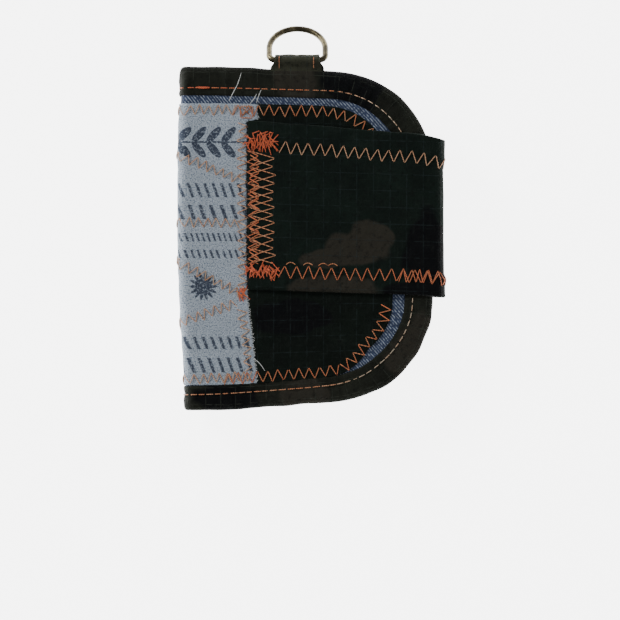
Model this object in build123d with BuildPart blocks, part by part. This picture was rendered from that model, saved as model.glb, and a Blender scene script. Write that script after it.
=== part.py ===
from build123d import *
from math import atan2, cos, hypot, pi, radians, sin
import os

# Trifold wallet of sewn cloth, closed and lying on its back. Millimetres.
# X runs from the spine to the rounded free edge, Y towards the D-ring, and Z out of the
# front. The origin is on the surface that the strap tail rests on, under the middle of
# the leaves.
#
# From the surface upwards: strap tail, hook and loop tapes, back leaf, inner leaf, front
# leaf, strap. The spine joins the back and front leaves on the left, and a short neck
# joins the back and inner leaves on the right. The strap is sewn to the front leaf,
# wraps the right-hand edge and closes on the back leaf.

# Cloth and tape thicknesses
RIPSTOP = 0.5
DENIM = 1.0
LINING = 0.4
BINDING = 0.5
VINYL = 0.4
STRAP = 1.0
TAPE = 1.0
THREAD = 0.5
THREAD_HEIGHT = 0.25
THREAD_SPREAD = 1.0

# How far a cutting box runs past what it cuts
CUT_MARGIN = 1.0

# Leaf outline
LEAF_HEIGHT = 120.0
LEAF_RIGHT = 44.0
CORNER_RADIUS = 36.0
BINDING_WIDTH = 9.0
STITCH_INSET = 6.5
PATCH_INSET = 12.9

# Clearances in the closed stack
TAPE_GAP = 0.1
LEAF_GAP = 0.3
POCKET_GAP = 0.9
INNER_ROOM = 3.3
HINGE_GAP = 0.9

# Inner leaf and its neck
INNER_LEFT = -7.4
INNER_HEIGHT = 117.0
INNER_CORNER = 8.0
INNER_BINDING_WIDTH = 7.0
NECK_X = 45.0
NECK_LOW = -19.5
NECK_HIGH = 24.5
NECK_BEND = 1.8

# Spine
SPINE_X = -44.4
SPINE_BEND = 2.5

# Strap, with its two long edges given by their heights at the sewn and the folded end
STRAP_LEFT = -20.5
STRAP_TOP = (41.5, 34.8)
STRAP_BOTTOM = (-18.0, -20.8)
STRAP_X = 47.4
STRAP_BEND = 2.5
TAIL_LEFT = -12.0
TAIL_TAPER = 2.0
TAPE_LENGTH = 42.0
TAPE_WIDTH = 46.0
TAPE_CORNER = 2.0
TAIL_CORNER = 5.0

# D-ring and the loop that holds it
RING_X = -3.4
RING_WIDTH = 21.7
RING_WIRE = 2.1
RING_SIDE = 3.2
RING_CORNER = 2.4
RING_BAR_Y = 62.3
RING_DROOP = 40.0
LOOP_WIDTH = 18.7
LOOP_BAR_WIDTH = 15.6
LOOP_FOOT_Y = 55.0
LOOP_CLOTH = 0.6
LOOP_STITCHES = (-6.0, 5.6)
RING_PLAY = 0.1
RING_LIFT = 0.3

# A fold of radius r turns about a point this share of r in from its sharp corner, so
# that its cloth is as long folded as flat
FOLD_SHARE = 1 - pi / 4

# Heights of the layers
TAIL_Z = 0.0
HOOK_Z = TAIL_Z + STRAP
LOOP_TAPE_Z = HOOK_Z + TAPE + TAPE_GAP
BACK_SKIN_Z = LOOP_TAPE_Z + TAPE
BACK_BASE_Z = BACK_SKIN_Z + RIPSTOP
BACK_LINING_Z = BACK_BASE_Z + DENIM
BILL_SEAM_Z = BACK_LINING_Z + LINING
BILL_PANEL_Z = BILL_SEAM_Z + POCKET_GAP
CARD_SEAM_Z = BILL_PANEL_Z + LINING
CARD_PANEL_Z = CARD_SEAM_Z + POCKET_GAP
INNER_SKIN_Z = CARD_PANEL_Z + LINING + LEAF_GAP + BINDING
INNER_CORE_Z = INNER_SKIN_Z + LINING
INNER_CORE = 0.8
INNER_LINING_Z = INNER_CORE_Z + INNER_CORE
SLIP_SEAM_Z = INNER_LINING_Z + LINING
SLIP_PANEL_Z = SLIP_SEAM_Z + POCKET_GAP
WINDOW_Z = SLIP_PANEL_Z + LINING + INNER_ROOM
WINDOW_SEAM_Z = WINDOW_Z + VINYL
FRONT_LINING_Z = WINDOW_SEAM_Z + POCKET_GAP
FRONT_BASE_Z = FRONT_LINING_Z + LINING
FRONT_SKIN_Z = FRONT_BASE_Z + DENIM
STRAP_Z = FRONT_SKIN_Z + RIPSTOP
STRAP_TOP_Z = STRAP_Z + STRAP

BACK_MID_Z = BACK_BASE_Z + DENIM / 2
INNER_MID_Z = INNER_CORE_Z + INNER_CORE / 2
FRONT_MID_Z = FRONT_BASE_Z + DENIM / 2

# Fold axes, each parallel to Y, as (x, z)
SPINE_LOW = (SPINE_X + FOLD_SHARE * SPINE_BEND, BACK_MID_Z + FOLD_SHARE * SPINE_BEND)
SPINE_HIGH = (SPINE_LOW[0], FRONT_MID_Z - FOLD_SHARE * SPINE_BEND)
NECK_LOWER = (NECK_X - FOLD_SHARE * NECK_BEND, BACK_MID_Z + FOLD_SHARE * NECK_BEND)
NECK_UPPER = (NECK_LOWER[0], INNER_MID_Z - FOLD_SHARE * NECK_BEND)
STRAP_UPPER = (STRAP_X - FOLD_SHARE * STRAP_BEND, STRAP_Z + STRAP / 2 - FOLD_SHARE * STRAP_BEND)
STRAP_LOWER = (STRAP_UPPER[0], TAIL_Z + STRAP / 2 + FOLD_SHARE * STRAP_BEND)

LEAF_LEFT = SPINE_LOW[0] + HINGE_GAP
STRAP_RIGHT = STRAP_UPPER[0] - HINGE_GAP
RING_RADIUS = (RING_WIDTH - RING_WIRE) / 2
RING_BAR_Z = FRONT_SKIN_Z + RING_LIFT

# Patch outlines on the front and back leaves
PATCH_TOP = 47.1
PATCH_STITCH_INSET = 14.9
PRINT_BOTTOM = -50.9
PRINT_EDGE = -21.0
PRINT_STEP = -17.5
PRINT_STEP_Y = 42.0
PRINT_FLARE_Y = -20.0

# Zigzag rows across the print patch, and the column along its right-hand edge
ZIGZAG_STEP = 1.9
ZIGZAG_SWING = 3.6
PRINT_ROWS = [
    ((-42.0, 44.6), (-26.5, 44.6)),
    ((-42.0, 27.5), (-26.5, 21.6)),
    ((-42.0, 5.4), (-26.5, 5.4)),
    ((-42.0, -9.8), (-26.5, -18.1)),
    ((-42.0, -28.5), (-26.5, -23.9)),
    ((-42.0, -48.6), (-26.5, -48.6)),
    ((-23.4, 38.0), (-23.4, -46.0)),
]
PATCH_ROW_LEFT = -15.0

# Where the zigzag round the patch's corners starts and stops, in degrees
ARC_ROW_END = 88.0
LOWER_ARC_START = -4.0
FRONT_ARC_STOP = 50.0
BACK_ARC_STOP = 25.0

# Patch pockets, as (left, right, low, high)
SEAM = 1.0
BILL_POCKET = (-39.0, 30.5, -34.0, 38.0)
CARD_POCKET = (-35.0, 23.0, -34.0, 30.0)
WINDOW_POCKET = (-38.0, 20.0, -44.0, 44.0)
SLIP_POCKET = (1.0, 28.0, -40.0, 34.0)

# Stitching on the strap
HEM_LEFT = -7.0
HEM_TOP = (32.3, 27.6)
HEM_BOTTOM = (-11.0, -13.0)
ANCHOR_COLUMNS = (-18.2, -13.4)
ANCHOR_SPAN = (28.0, -6.5)
ANCHOR_STEP = 2.15
TACK_SIZE = (9.5, 5.5)
TACK_CORNER = 1.5
TACKS = [(-15.6, 33.4), (-15.4, -11.2)]

os.makedirs("parts", exist_ok=True)


def write_part(part, name):
    """Label a finished piece and write it to its own file."""
    part.label = name
    export_step(part, f"parts/{name}.step")


def box_between(low, high, mode=Mode.ADD):
    """Add a box to the active part, given two opposite corners."""
    size = [b - a for a, b in zip(low, high)]
    centre = [(a + b) / 2 for a, b in zip(low, high)]
    with Locations(tuple(centre)):
        Box(*size, mode=mode)


def leaf_sheet(bottom, thickness, inset=BINDING, left=LEAF_LEFT, mode=Mode.ADD):
    """Add a sheet with the leaf's outline: straight on the left, round on the right."""
    width = LEAF_RIGHT - inset - left
    with BuildSketch(Plane.XY.offset(bottom)) as outline:
        with Locations((left + width / 2, 0)):
            Rectangle(width, LEAF_HEIGHT - 2 * inset)
        fillet(outline.vertices().group_by(Axis.X)[-1], CORNER_RADIUS - inset)
    extrude(outline.sketch, amount=thickness, mode=mode)


def inner_sheet(bottom, thickness, inset=BINDING, mode=Mode.ADD):
    """Add a sheet with the inner leaf's outline, which is round at all four corners."""
    left = INNER_LEFT + inset
    width = LEAF_RIGHT - inset - left
    with BuildSketch(Plane.XY.offset(bottom)) as outline:
        with Locations((left + width / 2, 0)):
            Rectangle(width, INNER_HEIGHT - 2 * inset)
        fillet(outline.vertices().group_by(Axis.X)[-1], CORNER_RADIUS - inset)
        fillet(outline.vertices().group_by(Axis.X)[0], max(INNER_CORNER - inset, 1))
    extrude(outline.sketch, amount=thickness, mode=mode)


def neck_opening(bottom, top):
    """Cut the bound edge away where the neck leaves the leaf."""
    low = (LEAF_RIGHT - BINDING_WIDTH - CUT_MARGIN, NECK_LOW, bottom)
    high = (LEAF_RIGHT + CUT_MARGIN, NECK_HIGH, top)
    box_between(low, high, Mode.SUBTRACT)


def leaf_binding(core_bottom, core_thickness):
    """Add the tape folded over the top, right and bottom edges of a leaf."""
    bottom = core_bottom - BINDING
    thickness = core_thickness + 2 * BINDING
    leaf_sheet(bottom, thickness, inset=0)
    leaf_sheet(core_bottom, core_thickness, mode=Mode.SUBTRACT)
    leaf_sheet(bottom, thickness, inset=BINDING_WIDTH, mode=Mode.SUBTRACT)


def patch_points():
    """The seam between the print patch and the dark patch, from top to bottom."""
    return [
        (PRINT_STEP, PATCH_TOP),
        (PRINT_STEP, PRINT_STEP_Y),
        (PRINT_EDGE, PRINT_STEP_Y),
        (PRINT_EDGE, PRINT_FLARE_Y),
        (PRINT_STEP, PRINT_BOTTOM),
    ]


def print_patch(bottom):
    """Add the printed patch that runs from the spine to the seam."""
    with BuildSketch(Plane.XY.offset(bottom)) as outline:
        Polygon(*patch_points(), (LEAF_LEFT, PRINT_BOTTOM), (LEAF_LEFT, PATCH_TOP), align=None)
    extrude(outline.sketch, amount=RIPSTOP)


def dark_patch(bottom):
    """Add the dark patch that runs from the seam round the free edge."""
    leaf_sheet(bottom, RIPSTOP, inset=PATCH_INSET)
    with BuildSketch(Plane.XY.offset(bottom)) as outline:
        Polygon(*patch_points(), (LEAF_LEFT, PRINT_BOTTOM), (LEAF_LEFT, PATCH_TOP), align=None)
    extrude(outline.sketch, amount=RIPSTOP, mode=Mode.SUBTRACT)


def straight_stations(start, end, step):
    """Evenly spaced (x, y, heading) along a straight seam, heading in radians."""
    dx, dy = end[0] - start[0], end[1] - start[1]
    count = round(hypot(dx, dy) / step)
    heading = atan2(dy, dx)
    shares = [i / count for i in range(count + 1)]
    return [(start[0] + dx * s, start[1] + dy * s, heading) for s in shares]


def arc_stations(centre, radius, first, last, step):
    """Evenly spaced (x, y, heading) along a curved seam between two angles in degrees."""
    count = round(radians(abs(last - first)) * radius / step)
    turn = 1 if last > first else -1
    angles = [radians(first + (last - first) * i / count) for i in range(count + 1)]
    x, y = centre
    return [(x + radius * cos(a), y + radius * sin(a), a + turn * pi / 2) for a in angles]


def zigzag(stations, swing):
    """Add one zigzag thread to the active sketch as a band, swing wide overall."""
    left, right = [], []
    for i, (x, y, heading) in enumerate(stations):
        middle = (swing - THREAD_SPREAD) / 2 * (-1) ** i
        for edge, side in ((left, middle + THREAD_SPREAD / 2), (right, middle - THREAD_SPREAD / 2)):
            edge.append((x - side * sin(heading), y + side * cos(heading)))
    Polygon(*left, *reversed(right), align=None)


def strap_edge(x, ends):
    """Height in Y of a long edge of the strap at x."""
    share = (x - STRAP_LEFT) / (STRAP_X - STRAP_LEFT)
    return ends[0] + (ends[1] - ends[0]) * share


def pocket_panel(pocket, bottom, thickness):
    """Opposite corners of a pocket's face, from its (left, right, low, high)."""
    left, right, low, high = pocket
    return (left, low, bottom), (right, high, bottom + thickness)


def pocket_seams(pocket, bottom):
    """Add the three sewn edges that hold a patch pocket, which stays open at its top."""
    left, right, low, high = pocket
    top = bottom + POCKET_GAP
    box_between((left, low + SEAM, bottom), (left + SEAM, high, top))
    box_between((right - SEAM, low + SEAM, bottom), (right, high, top))
    box_between((left, low, bottom), (right, low + SEAM, top))


def binding_stitch(bottom):
    """Add the straight stitch line that runs along the bound edge."""
    leaf_sheet(bottom, THREAD_HEIGHT, inset=STITCH_INSET - THREAD / 2)
    leaf_sheet(bottom, THREAD_HEIGHT, inset=STITCH_INSET + THREAD / 2, mode=Mode.SUBTRACT)


def patch_stitch(bottom, upper_end):
    """Add the zigzag rows that hold the two patches down.

    upper_end is the angle in degrees at which the seam round the upper corner stops.
    """
    reach = LEAF_HEIGHT / 2 - PATCH_STITCH_INSET
    radius = CORNER_RADIUS - PATCH_STITCH_INSET
    x = LEAF_RIGHT - CORNER_RADIUS
    y = LEAF_HEIGHT / 2 - CORNER_RADIUS
    with BuildSketch(Plane.XY.offset(bottom)) as seams:
        for start, end in PRINT_ROWS:
            zigzag(straight_stations(start, end, ZIGZAG_STEP), ZIGZAG_SWING)
        zigzag(straight_stations((PATCH_ROW_LEFT, reach), (x - 1, reach), ZIGZAG_STEP), ZIGZAG_SWING)
        zigzag(arc_stations((x, y), radius, ARC_ROW_END, upper_end, ZIGZAG_STEP), ZIGZAG_SWING)
        zigzag(arc_stations((x, -y), radius, LOWER_ARC_START, -ARC_ROW_END, ZIGZAG_STEP), ZIGZAG_SWING)
        low_row = straight_stations((x - 1, -reach), (PATCH_ROW_LEFT, -reach), ZIGZAG_STEP)
        zigzag(low_row, ZIGZAG_SWING)
    extrude(seams.sketch, amount=THREAD_HEIGHT)


# ---------------------------------------------------------------- back leaf
with BuildPart() as back_base:
    leaf_sheet(BACK_BASE_Z, DENIM)
write_part(back_base.part, "back_base")

with BuildPart() as back_lining:
    leaf_sheet(BACK_LINING_Z, LINING)
write_part(back_lining.part, "back_lining")

with BuildPart() as back_binding:
    leaf_binding(BACK_BASE_Z, DENIM + LINING)
    neck_opening(BACK_SKIN_Z, BILL_PANEL_Z)
write_part(back_binding.part, "back_binding")

with BuildPart() as back_print_patch:
    print_patch(BACK_SKIN_Z)
write_part(back_print_patch.part, "back_print_patch")

with BuildPart() as back_dark_patch:
    dark_patch(BACK_SKIN_Z)
write_part(back_dark_patch.part, "back_dark_patch")

TAPE_Y = (STRAP_TOP[1] + STRAP_BOTTOM[1]) / 2
TAPE_RIGHT = TAIL_LEFT + TAIL_TAPER + TAPE_LENGTH

with BuildPart() as loop_tape:
    low = (TAPE_RIGHT - TAPE_LENGTH, TAPE_Y - TAPE_WIDTH / 2, LOOP_TAPE_Z)
    high = (TAPE_RIGHT, TAPE_Y + TAPE_WIDTH / 2, BACK_SKIN_Z)
    box_between(low, high)
    fillet(loop_tape.edges().filter_by(Axis.Z), TAPE_CORNER)
write_part(loop_tape.part, "loop_tape")

with BuildPart() as bill_pocket:
    box_between(*pocket_panel(BILL_POCKET, BILL_PANEL_Z, LINING))
write_part(bill_pocket.part, "bill_pocket")

with BuildPart() as bill_pocket_seams:
    pocket_seams(BILL_POCKET, BILL_SEAM_Z)
write_part(bill_pocket_seams.part, "bill_pocket_seams")

with BuildPart() as card_pocket:
    box_between(*pocket_panel(CARD_POCKET, CARD_PANEL_Z, LINING))
write_part(card_pocket.part, "card_pocket")

with BuildPart() as card_pocket_seams:
    pocket_seams(CARD_POCKET, CARD_SEAM_Z)
write_part(card_pocket_seams.part, "card_pocket_seams")

with BuildPart() as back_binding_stitch:
    binding_stitch(BACK_SKIN_Z - THREAD_HEIGHT)
    low = (LEAF_RIGHT - BINDING_WIDTH, NECK_LOW, BACK_SKIN_Z - CUT_MARGIN)
    box_between(low, (LEAF_RIGHT, NECK_HIGH, BACK_SKIN_Z), Mode.SUBTRACT)
write_part(back_binding_stitch.part, "back_binding_stitch")

with BuildPart() as back_patch_stitch:
    patch_stitch(BACK_SKIN_Z - THREAD_HEIGHT, upper_end=BACK_ARC_STOP)
write_part(back_patch_stitch.part, "back_patch_stitch")

# ---------------------------------------------------------------- spine
HALF = LEAF_HEIGHT / 2 - BINDING
SPINE_SPAN = (SPINE_LOW[1] + HINGE_GAP, SPINE_HIGH[1] - HINGE_GAP)

with BuildPart() as spine_base:
    low = (SPINE_X - DENIM / 2, -HALF, SPINE_SPAN[0])
    box_between(low, (SPINE_X + DENIM / 2, HALF, SPINE_SPAN[1]))
write_part(spine_base.part, "spine_base")

with BuildPart() as spine_print_patch:
    right = SPINE_X - DENIM / 2
    low = (right - RIPSTOP, PRINT_BOTTOM, SPINE_SPAN[0])
    box_between(low, (right, PATCH_TOP, SPINE_SPAN[1]))
write_part(spine_print_patch.part, "spine_print_patch")

with BuildPart() as spine_lining:
    left = SPINE_X + DENIM / 2
    low = (left, -HALF, SPINE_SPAN[0])
    box_between(low, (left + LINING, HALF, SPINE_SPAN[1]))
write_part(spine_lining.part, "spine_lining")

# ---------------------------------------------------------------- front leaf
with BuildPart() as front_base:
    leaf_sheet(FRONT_BASE_Z, DENIM)
write_part(front_base.part, "front_base")

with BuildPart() as front_lining:
    leaf_sheet(FRONT_LINING_Z, LINING)
write_part(front_lining.part, "front_lining")

with BuildPart() as front_binding:
    leaf_binding(FRONT_LINING_Z, LINING + DENIM)
write_part(front_binding.part, "front_binding")

with BuildPart() as front_print_patch:
    print_patch(FRONT_SKIN_Z)
write_part(front_print_patch.part, "front_print_patch")

with BuildPart() as front_dark_patch:
    dark_patch(FRONT_SKIN_Z)
write_part(front_dark_patch.part, "front_dark_patch")

with BuildPart() as id_window:
    box_between(*pocket_panel(WINDOW_POCKET, WINDOW_Z, VINYL))
write_part(id_window.part, "id_window")

with BuildPart() as id_window_seams:
    pocket_seams(WINDOW_POCKET, WINDOW_SEAM_Z)
write_part(id_window_seams.part, "id_window_seams")

with BuildPart() as front_binding_stitch:
    binding_stitch(STRAP_Z)
    top = strap_edge(STRAP_LEFT, STRAP_TOP)
    low = (0, STRAP_BOTTOM[1] - CUT_MARGIN, STRAP_Z)
    box_between(low, (LEAF_RIGHT, top, STRAP_TOP_Z), Mode.SUBTRACT)
write_part(front_binding_stitch.part, "front_binding_stitch")

with BuildPart() as front_patch_stitch:
    patch_stitch(STRAP_Z, upper_end=FRONT_ARC_STOP)
write_part(front_patch_stitch.part, "front_patch_stitch")

# ---------------------------------------------------------------- strap
with BuildPart() as strap_front:
    corners = [
        (STRAP_LEFT, STRAP_TOP[0]),
        (STRAP_RIGHT, strap_edge(STRAP_RIGHT, STRAP_TOP)),
        (STRAP_RIGHT, strap_edge(STRAP_RIGHT, STRAP_BOTTOM)),
        (STRAP_LEFT, STRAP_BOTTOM[0]),
    ]
    with BuildSketch(Plane.XY.offset(STRAP_Z)):
        Polygon(*corners, align=None)
    extrude(amount=STRAP)
write_part(strap_front.part, "strap_front")

with BuildPart() as strap_hem_stitch:
    with BuildSketch(Plane.XY.offset(STRAP_TOP_Z)):
        for left_end, right_end in (HEM_TOP, HEM_BOTTOM):
            start, end = (HEM_LEFT, left_end), (STRAP_RIGHT - 1, right_end)
            zigzag(straight_stations(start, end, ZIGZAG_STEP), ZIGZAG_SWING)
    extrude(amount=THREAD_HEIGHT)
write_part(strap_hem_stitch.part, "strap_hem_stitch")

with BuildPart() as strap_anchor_stitch:
    with BuildSketch(Plane.XY.offset(STRAP_TOP_Z)):
        for x in ANCHOR_COLUMNS:
            start, end = (x, ANCHOR_SPAN[0]), (x, ANCHOR_SPAN[1])
            zigzag(straight_stations(start, end, ANCHOR_STEP), ZIGZAG_SWING)
    extrude(amount=THREAD_HEIGHT)
write_part(strap_anchor_stitch.part, "strap_anchor_stitch")

with BuildPart() as strap_bar_tacks:
    with BuildSketch(Plane.XY.offset(STRAP_TOP_Z)):
        with Locations(*TACKS):
            RectangleRounded(*TACK_SIZE, TACK_CORNER)
    extrude(amount=THREAD_HEIGHT)
write_part(strap_bar_tacks.part, "strap_bar_tacks")

with BuildPart() as strap_side:
    low = (STRAP_X - STRAP / 2, STRAP_BOTTOM[1], STRAP_LOWER[1] + HINGE_GAP)
    box_between(low, (STRAP_X + STRAP / 2, STRAP_TOP[1], STRAP_UPPER[1] - HINGE_GAP))
write_part(strap_side.part, "strap_side")

with BuildPart() as strap_tail:
    corners = [
        (STRAP_RIGHT, STRAP_TOP[1]),
        (STRAP_RIGHT, STRAP_BOTTOM[1]),
        (TAIL_LEFT, STRAP_BOTTOM[1] + TAIL_TAPER),
        (TAIL_LEFT, STRAP_TOP[1] - TAIL_TAPER),
    ]
    with BuildSketch(Plane.XY.offset(TAIL_Z)) as outline:
        Polygon(*corners, align=None)
        fillet(outline.vertices().group_by(Axis.X)[0], TAIL_CORNER)
    extrude(amount=STRAP)
write_part(strap_tail.part, "strap_tail")

with BuildPart() as hook_tape:
    low = (TAPE_RIGHT - TAPE_LENGTH, TAPE_Y - TAPE_WIDTH / 2, HOOK_Z)
    high = (TAPE_RIGHT, TAPE_Y + TAPE_WIDTH / 2, HOOK_Z + TAPE)
    box_between(low, high)
    fillet(hook_tape.edges().filter_by(Axis.Z), TAPE_CORNER)
write_part(hook_tape.part, "hook_tape")

# ---------------------------------------------------------------- D-ring
DROOP = radians(RING_DROOP)
ring_plane = Plane(
    origin=(RING_X, RING_BAR_Y, RING_BAR_Z),
    x_dir=(1, 0, 0),
    z_dir=(0, sin(DROOP), cos(DROOP)),
)

with BuildPart() as d_ring:
    with BuildLine(ring_plane) as ring_path:
        bar = Line((0, 0), (RING_RADIUS - RING_CORNER, 0))
        corner = (RING_RADIUS - RING_CORNER, RING_CORNER)
        CenterArc(corner, RING_CORNER, -90, 90)
        Line((RING_RADIUS, RING_CORNER), (RING_RADIUS, RING_CORNER + RING_SIDE))
        CenterArc((0, RING_CORNER + RING_SIDE), RING_RADIUS, 0, 180)
        Line((-RING_RADIUS, RING_CORNER + RING_SIDE), (-RING_RADIUS, RING_CORNER))
        CenterArc((-corner[0], RING_CORNER), RING_CORNER, 180, 90)
        Line((-corner[0], 0), (0, 0))
    with BuildSketch(Plane(origin=bar @ 0, z_dir=bar % 0)):
        Circle(RING_WIRE / 2)
    sweep()
write_part(d_ring.part, "d_ring")

with BuildPart() as ring_loop:
    bore = RING_WIRE / 2 + RING_PLAY
    outside = bore + LOOP_CLOTH
    with BuildSketch(Plane.YZ.offset(RING_X - LOOP_BAR_WIDTH / 2)):
        with Locations((RING_BAR_Y, RING_BAR_Z)):
            Circle(outside)
        top = RING_BAR_Z + outside
        Polygon(
            (LEAF_HEIGHT / 2 - 1, STRAP_Z),
            (RING_BAR_Y, STRAP_Z),
            (RING_BAR_Y, top),
            (LEAF_HEIGHT / 2 - 1, STRAP_TOP_Z),
            align=None,
        )
        with Locations((RING_BAR_Y, RING_BAR_Z)):
            Circle(bore, mode=Mode.SUBTRACT)
    extrude(amount=LOOP_BAR_WIDTH)
    half = LOOP_WIDTH / 2
    box_between(
        (RING_X - half, LOOP_FOOT_Y, STRAP_Z),
        (RING_X + half, LEAF_HEIGHT / 2 - 1, STRAP_TOP_Z),
    )
write_part(ring_loop.part, "ring_loop")

with BuildPart() as ring_loop_stitch:
    for offset in LOOP_STITCHES:
        low = (RING_X + offset - THREAD / 2, LOOP_FOOT_Y + 1, STRAP_TOP_Z)
        high = (low[0] + THREAD, LEAF_HEIGHT / 2 - 2, STRAP_TOP_Z + THREAD_HEIGHT)
        box_between(low, high)
write_part(ring_loop_stitch.part, "ring_loop_stitch")

# ---------------------------------------------------------------- neck and inner leaf
NECK_SPAN = (NECK_LOWER[1] + HINGE_GAP, NECK_UPPER[1] - HINGE_GAP)
NECK_CORE = 0.8

with BuildPart() as neck_shell:
    low = (NECK_X - NECK_CORE / 2, NECK_LOW, NECK_SPAN[0])
    box_between(low, (NECK_X + NECK_CORE / 2, NECK_HIGH, NECK_SPAN[1]))
write_part(neck_shell.part, "neck_shell")

with BuildPart() as neck_lining:
    right = NECK_X - NECK_CORE / 2
    low = (right - LINING, NECK_LOW, NECK_SPAN[0])
    box_between(low, (right, NECK_HIGH, NECK_SPAN[1]))
write_part(neck_lining.part, "neck_lining")

with BuildPart() as inner_skin:
    inner_sheet(INNER_SKIN_Z, LINING)
write_part(inner_skin.part, "inner_skin")

with BuildPart() as inner_core:
    inner_sheet(INNER_CORE_Z, INNER_CORE)
write_part(inner_core.part, "inner_core")

with BuildPart() as inner_lining:
    inner_sheet(INNER_LINING_Z, LINING)
write_part(inner_lining.part, "inner_lining")

with BuildPart() as inner_binding:
    inner_thickness = 2 * LINING + INNER_CORE
    inner_sheet(INNER_SKIN_Z - BINDING, inner_thickness + 2 * BINDING, inset=0)
    inner_sheet(INNER_SKIN_Z, inner_thickness, mode=Mode.SUBTRACT)
    window = (INNER_SKIN_Z - BINDING, inner_thickness + 2 * BINDING)
    inner_sheet(*window, inset=INNER_BINDING_WIDTH, mode=Mode.SUBTRACT)
    neck_opening(INNER_SKIN_Z - BINDING, SLIP_PANEL_Z)
write_part(inner_binding.part, "inner_binding")

with BuildPart() as slip_pocket:
    box_between(*pocket_panel(SLIP_POCKET, SLIP_PANEL_Z, LINING))
write_part(slip_pocket.part, "slip_pocket")

with BuildPart() as slip_pocket_seams:
    pocket_seams(SLIP_POCKET, SLIP_SEAM_Z)
write_part(slip_pocket_seams.part, "slip_pocket_seams")
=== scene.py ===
import math

import bpy
import numpy as np
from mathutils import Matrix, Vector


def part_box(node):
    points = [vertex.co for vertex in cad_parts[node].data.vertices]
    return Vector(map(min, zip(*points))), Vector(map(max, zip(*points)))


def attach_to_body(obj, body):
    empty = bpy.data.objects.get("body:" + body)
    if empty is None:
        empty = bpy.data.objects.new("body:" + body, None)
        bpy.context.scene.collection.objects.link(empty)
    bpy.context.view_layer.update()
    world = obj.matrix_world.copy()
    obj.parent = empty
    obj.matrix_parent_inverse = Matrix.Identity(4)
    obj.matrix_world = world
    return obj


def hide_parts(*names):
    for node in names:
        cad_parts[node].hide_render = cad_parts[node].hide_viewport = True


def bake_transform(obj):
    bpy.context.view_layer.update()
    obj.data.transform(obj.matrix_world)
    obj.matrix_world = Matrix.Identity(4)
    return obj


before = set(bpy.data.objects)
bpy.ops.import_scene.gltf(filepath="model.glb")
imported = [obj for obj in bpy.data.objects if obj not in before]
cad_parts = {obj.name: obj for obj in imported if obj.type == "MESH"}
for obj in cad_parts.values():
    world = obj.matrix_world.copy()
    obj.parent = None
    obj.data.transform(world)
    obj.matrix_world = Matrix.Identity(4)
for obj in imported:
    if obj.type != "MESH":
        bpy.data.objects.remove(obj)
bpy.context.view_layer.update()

# Trifold wallet of sewn cloth.
MM = 0.001


def node_box(node):
    """The lowest and highest corner of a CAD node at rest, in millimetres."""
    low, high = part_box(node)
    return np.array(low) / MM, np.array(high) / MM


def layer(node):
    """The bottom and top height of a CAD node, in millimetres."""
    low, high = node_box(node)
    return low[2], high[2]


# ---------------------------------------------------------------- dimensions
LEAF_LOW, LEAF_HIGH = node_box("front_binding")
LEAF_LEFT, LEAF_RIGHT, LEAF_TOP = LEAF_LOW[0], LEAF_HIGH[0], LEAF_HIGH[1]
# Radius of the leaves' two round corners
CORNER = 36.0
# Half the denim's thickness, then the whole thickness of a lining and of a patch
BASE_HALF = 0.5
LINING_THICK = 0.4
PATCH_THICK = 0.5
THREAD_RADIUS = 0.165

FRONT_MID = sum(layer("front_base")) / 2
BACK_MID = sum(layer("back_base")) / 2
INNER_MID = sum(layer("inner_core")) / 2
STRAP_MID = sum(layer("strap_front")) / 2
TAIL_MID = sum(layer("strap_tail")) / 2
SPINE_X = node_box("spine_base")[0][0] + 0.5
NECK_X = sum(corner[0] for corner in node_box("neck_shell")) / 2
STRAP_X = sum(corner[0] for corner in node_box("strap_side")) / 2
SPINE_MIDDLE = (FRONT_MID + BACK_MID) / 2
NECK_MIDDLE = (INNER_MID + BACK_MID) / 2
NECK_LOW, NECK_HIGH = (corner[1] for corner in node_box("neck_shell"))
STRAP_MIDDLE = (STRAP_MID + TAIL_MID) / 2


# ---------------------------------------------------------------- small tools
def smooth(low, high, value):
    """0 below low, 1 above high, and a smooth step between."""
    t = np.clip((np.asarray(value, float) - low) / (high - low), 0, 1)
    return t * t * (3 - 2 * t)


def ripple(x, y, size, seed):
    """Smooth random heights from -1 to 1, with hills about size apart."""
    table = np.random.default_rng(seed).uniform(-1, 1, (64, 64))
    x, y = np.broadcast_arrays(np.asarray(x, float) / size + 300, np.asarray(y, float) / size + 300)
    ix, iy = np.floor(x).astype(int), np.floor(y).astype(int)
    fx, fy = smooth(0, 1, x - ix), smooth(0, 1, y - iy)
    near = table[ix % 64, iy % 64] * (1 - fx) + table[(ix + 1) % 64, iy % 64] * fx
    far = table[ix % 64, (iy + 1) % 64] * (1 - fx) + table[(ix + 1) % 64, (iy + 1) % 64] * fx
    return near * (1 - fy) + far * fy


def unit(vectors):
    """Vectors scaled to length 1."""
    return vectors / np.maximum(np.linalg.norm(vectors, axis=-1, keepdims=True), 1e-6)


def run_along(path):
    """How far along a path each of its points lies."""
    return np.concatenate([[0], np.cumsum(np.linalg.norm(np.diff(path, axis=0), axis=1))])


def softened(line, times):
    """A line of points with its corners rounded, and its ends kept."""
    for _ in range(times):
        line[1:-1] = (line[:-2] + 2 * line[1:-1] + line[2:]) / 4
    return line


def constant(value):
    """A function that gives the same value everywhere."""
    return lambda *places: np.full(np.shape(places[0]), float(value))


def side_line(points):
    """A function that gives x at any y, along points that run up or down a side."""
    order = np.argsort(points[:, 1])
    return lambda y: np.interp(y, points[order, 1], points[order, 0])


# How far from the end of a row of stations its two closest stations are
EDGE = (0.16, 0.42)
BUTT = (0.02, 0.06)


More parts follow.
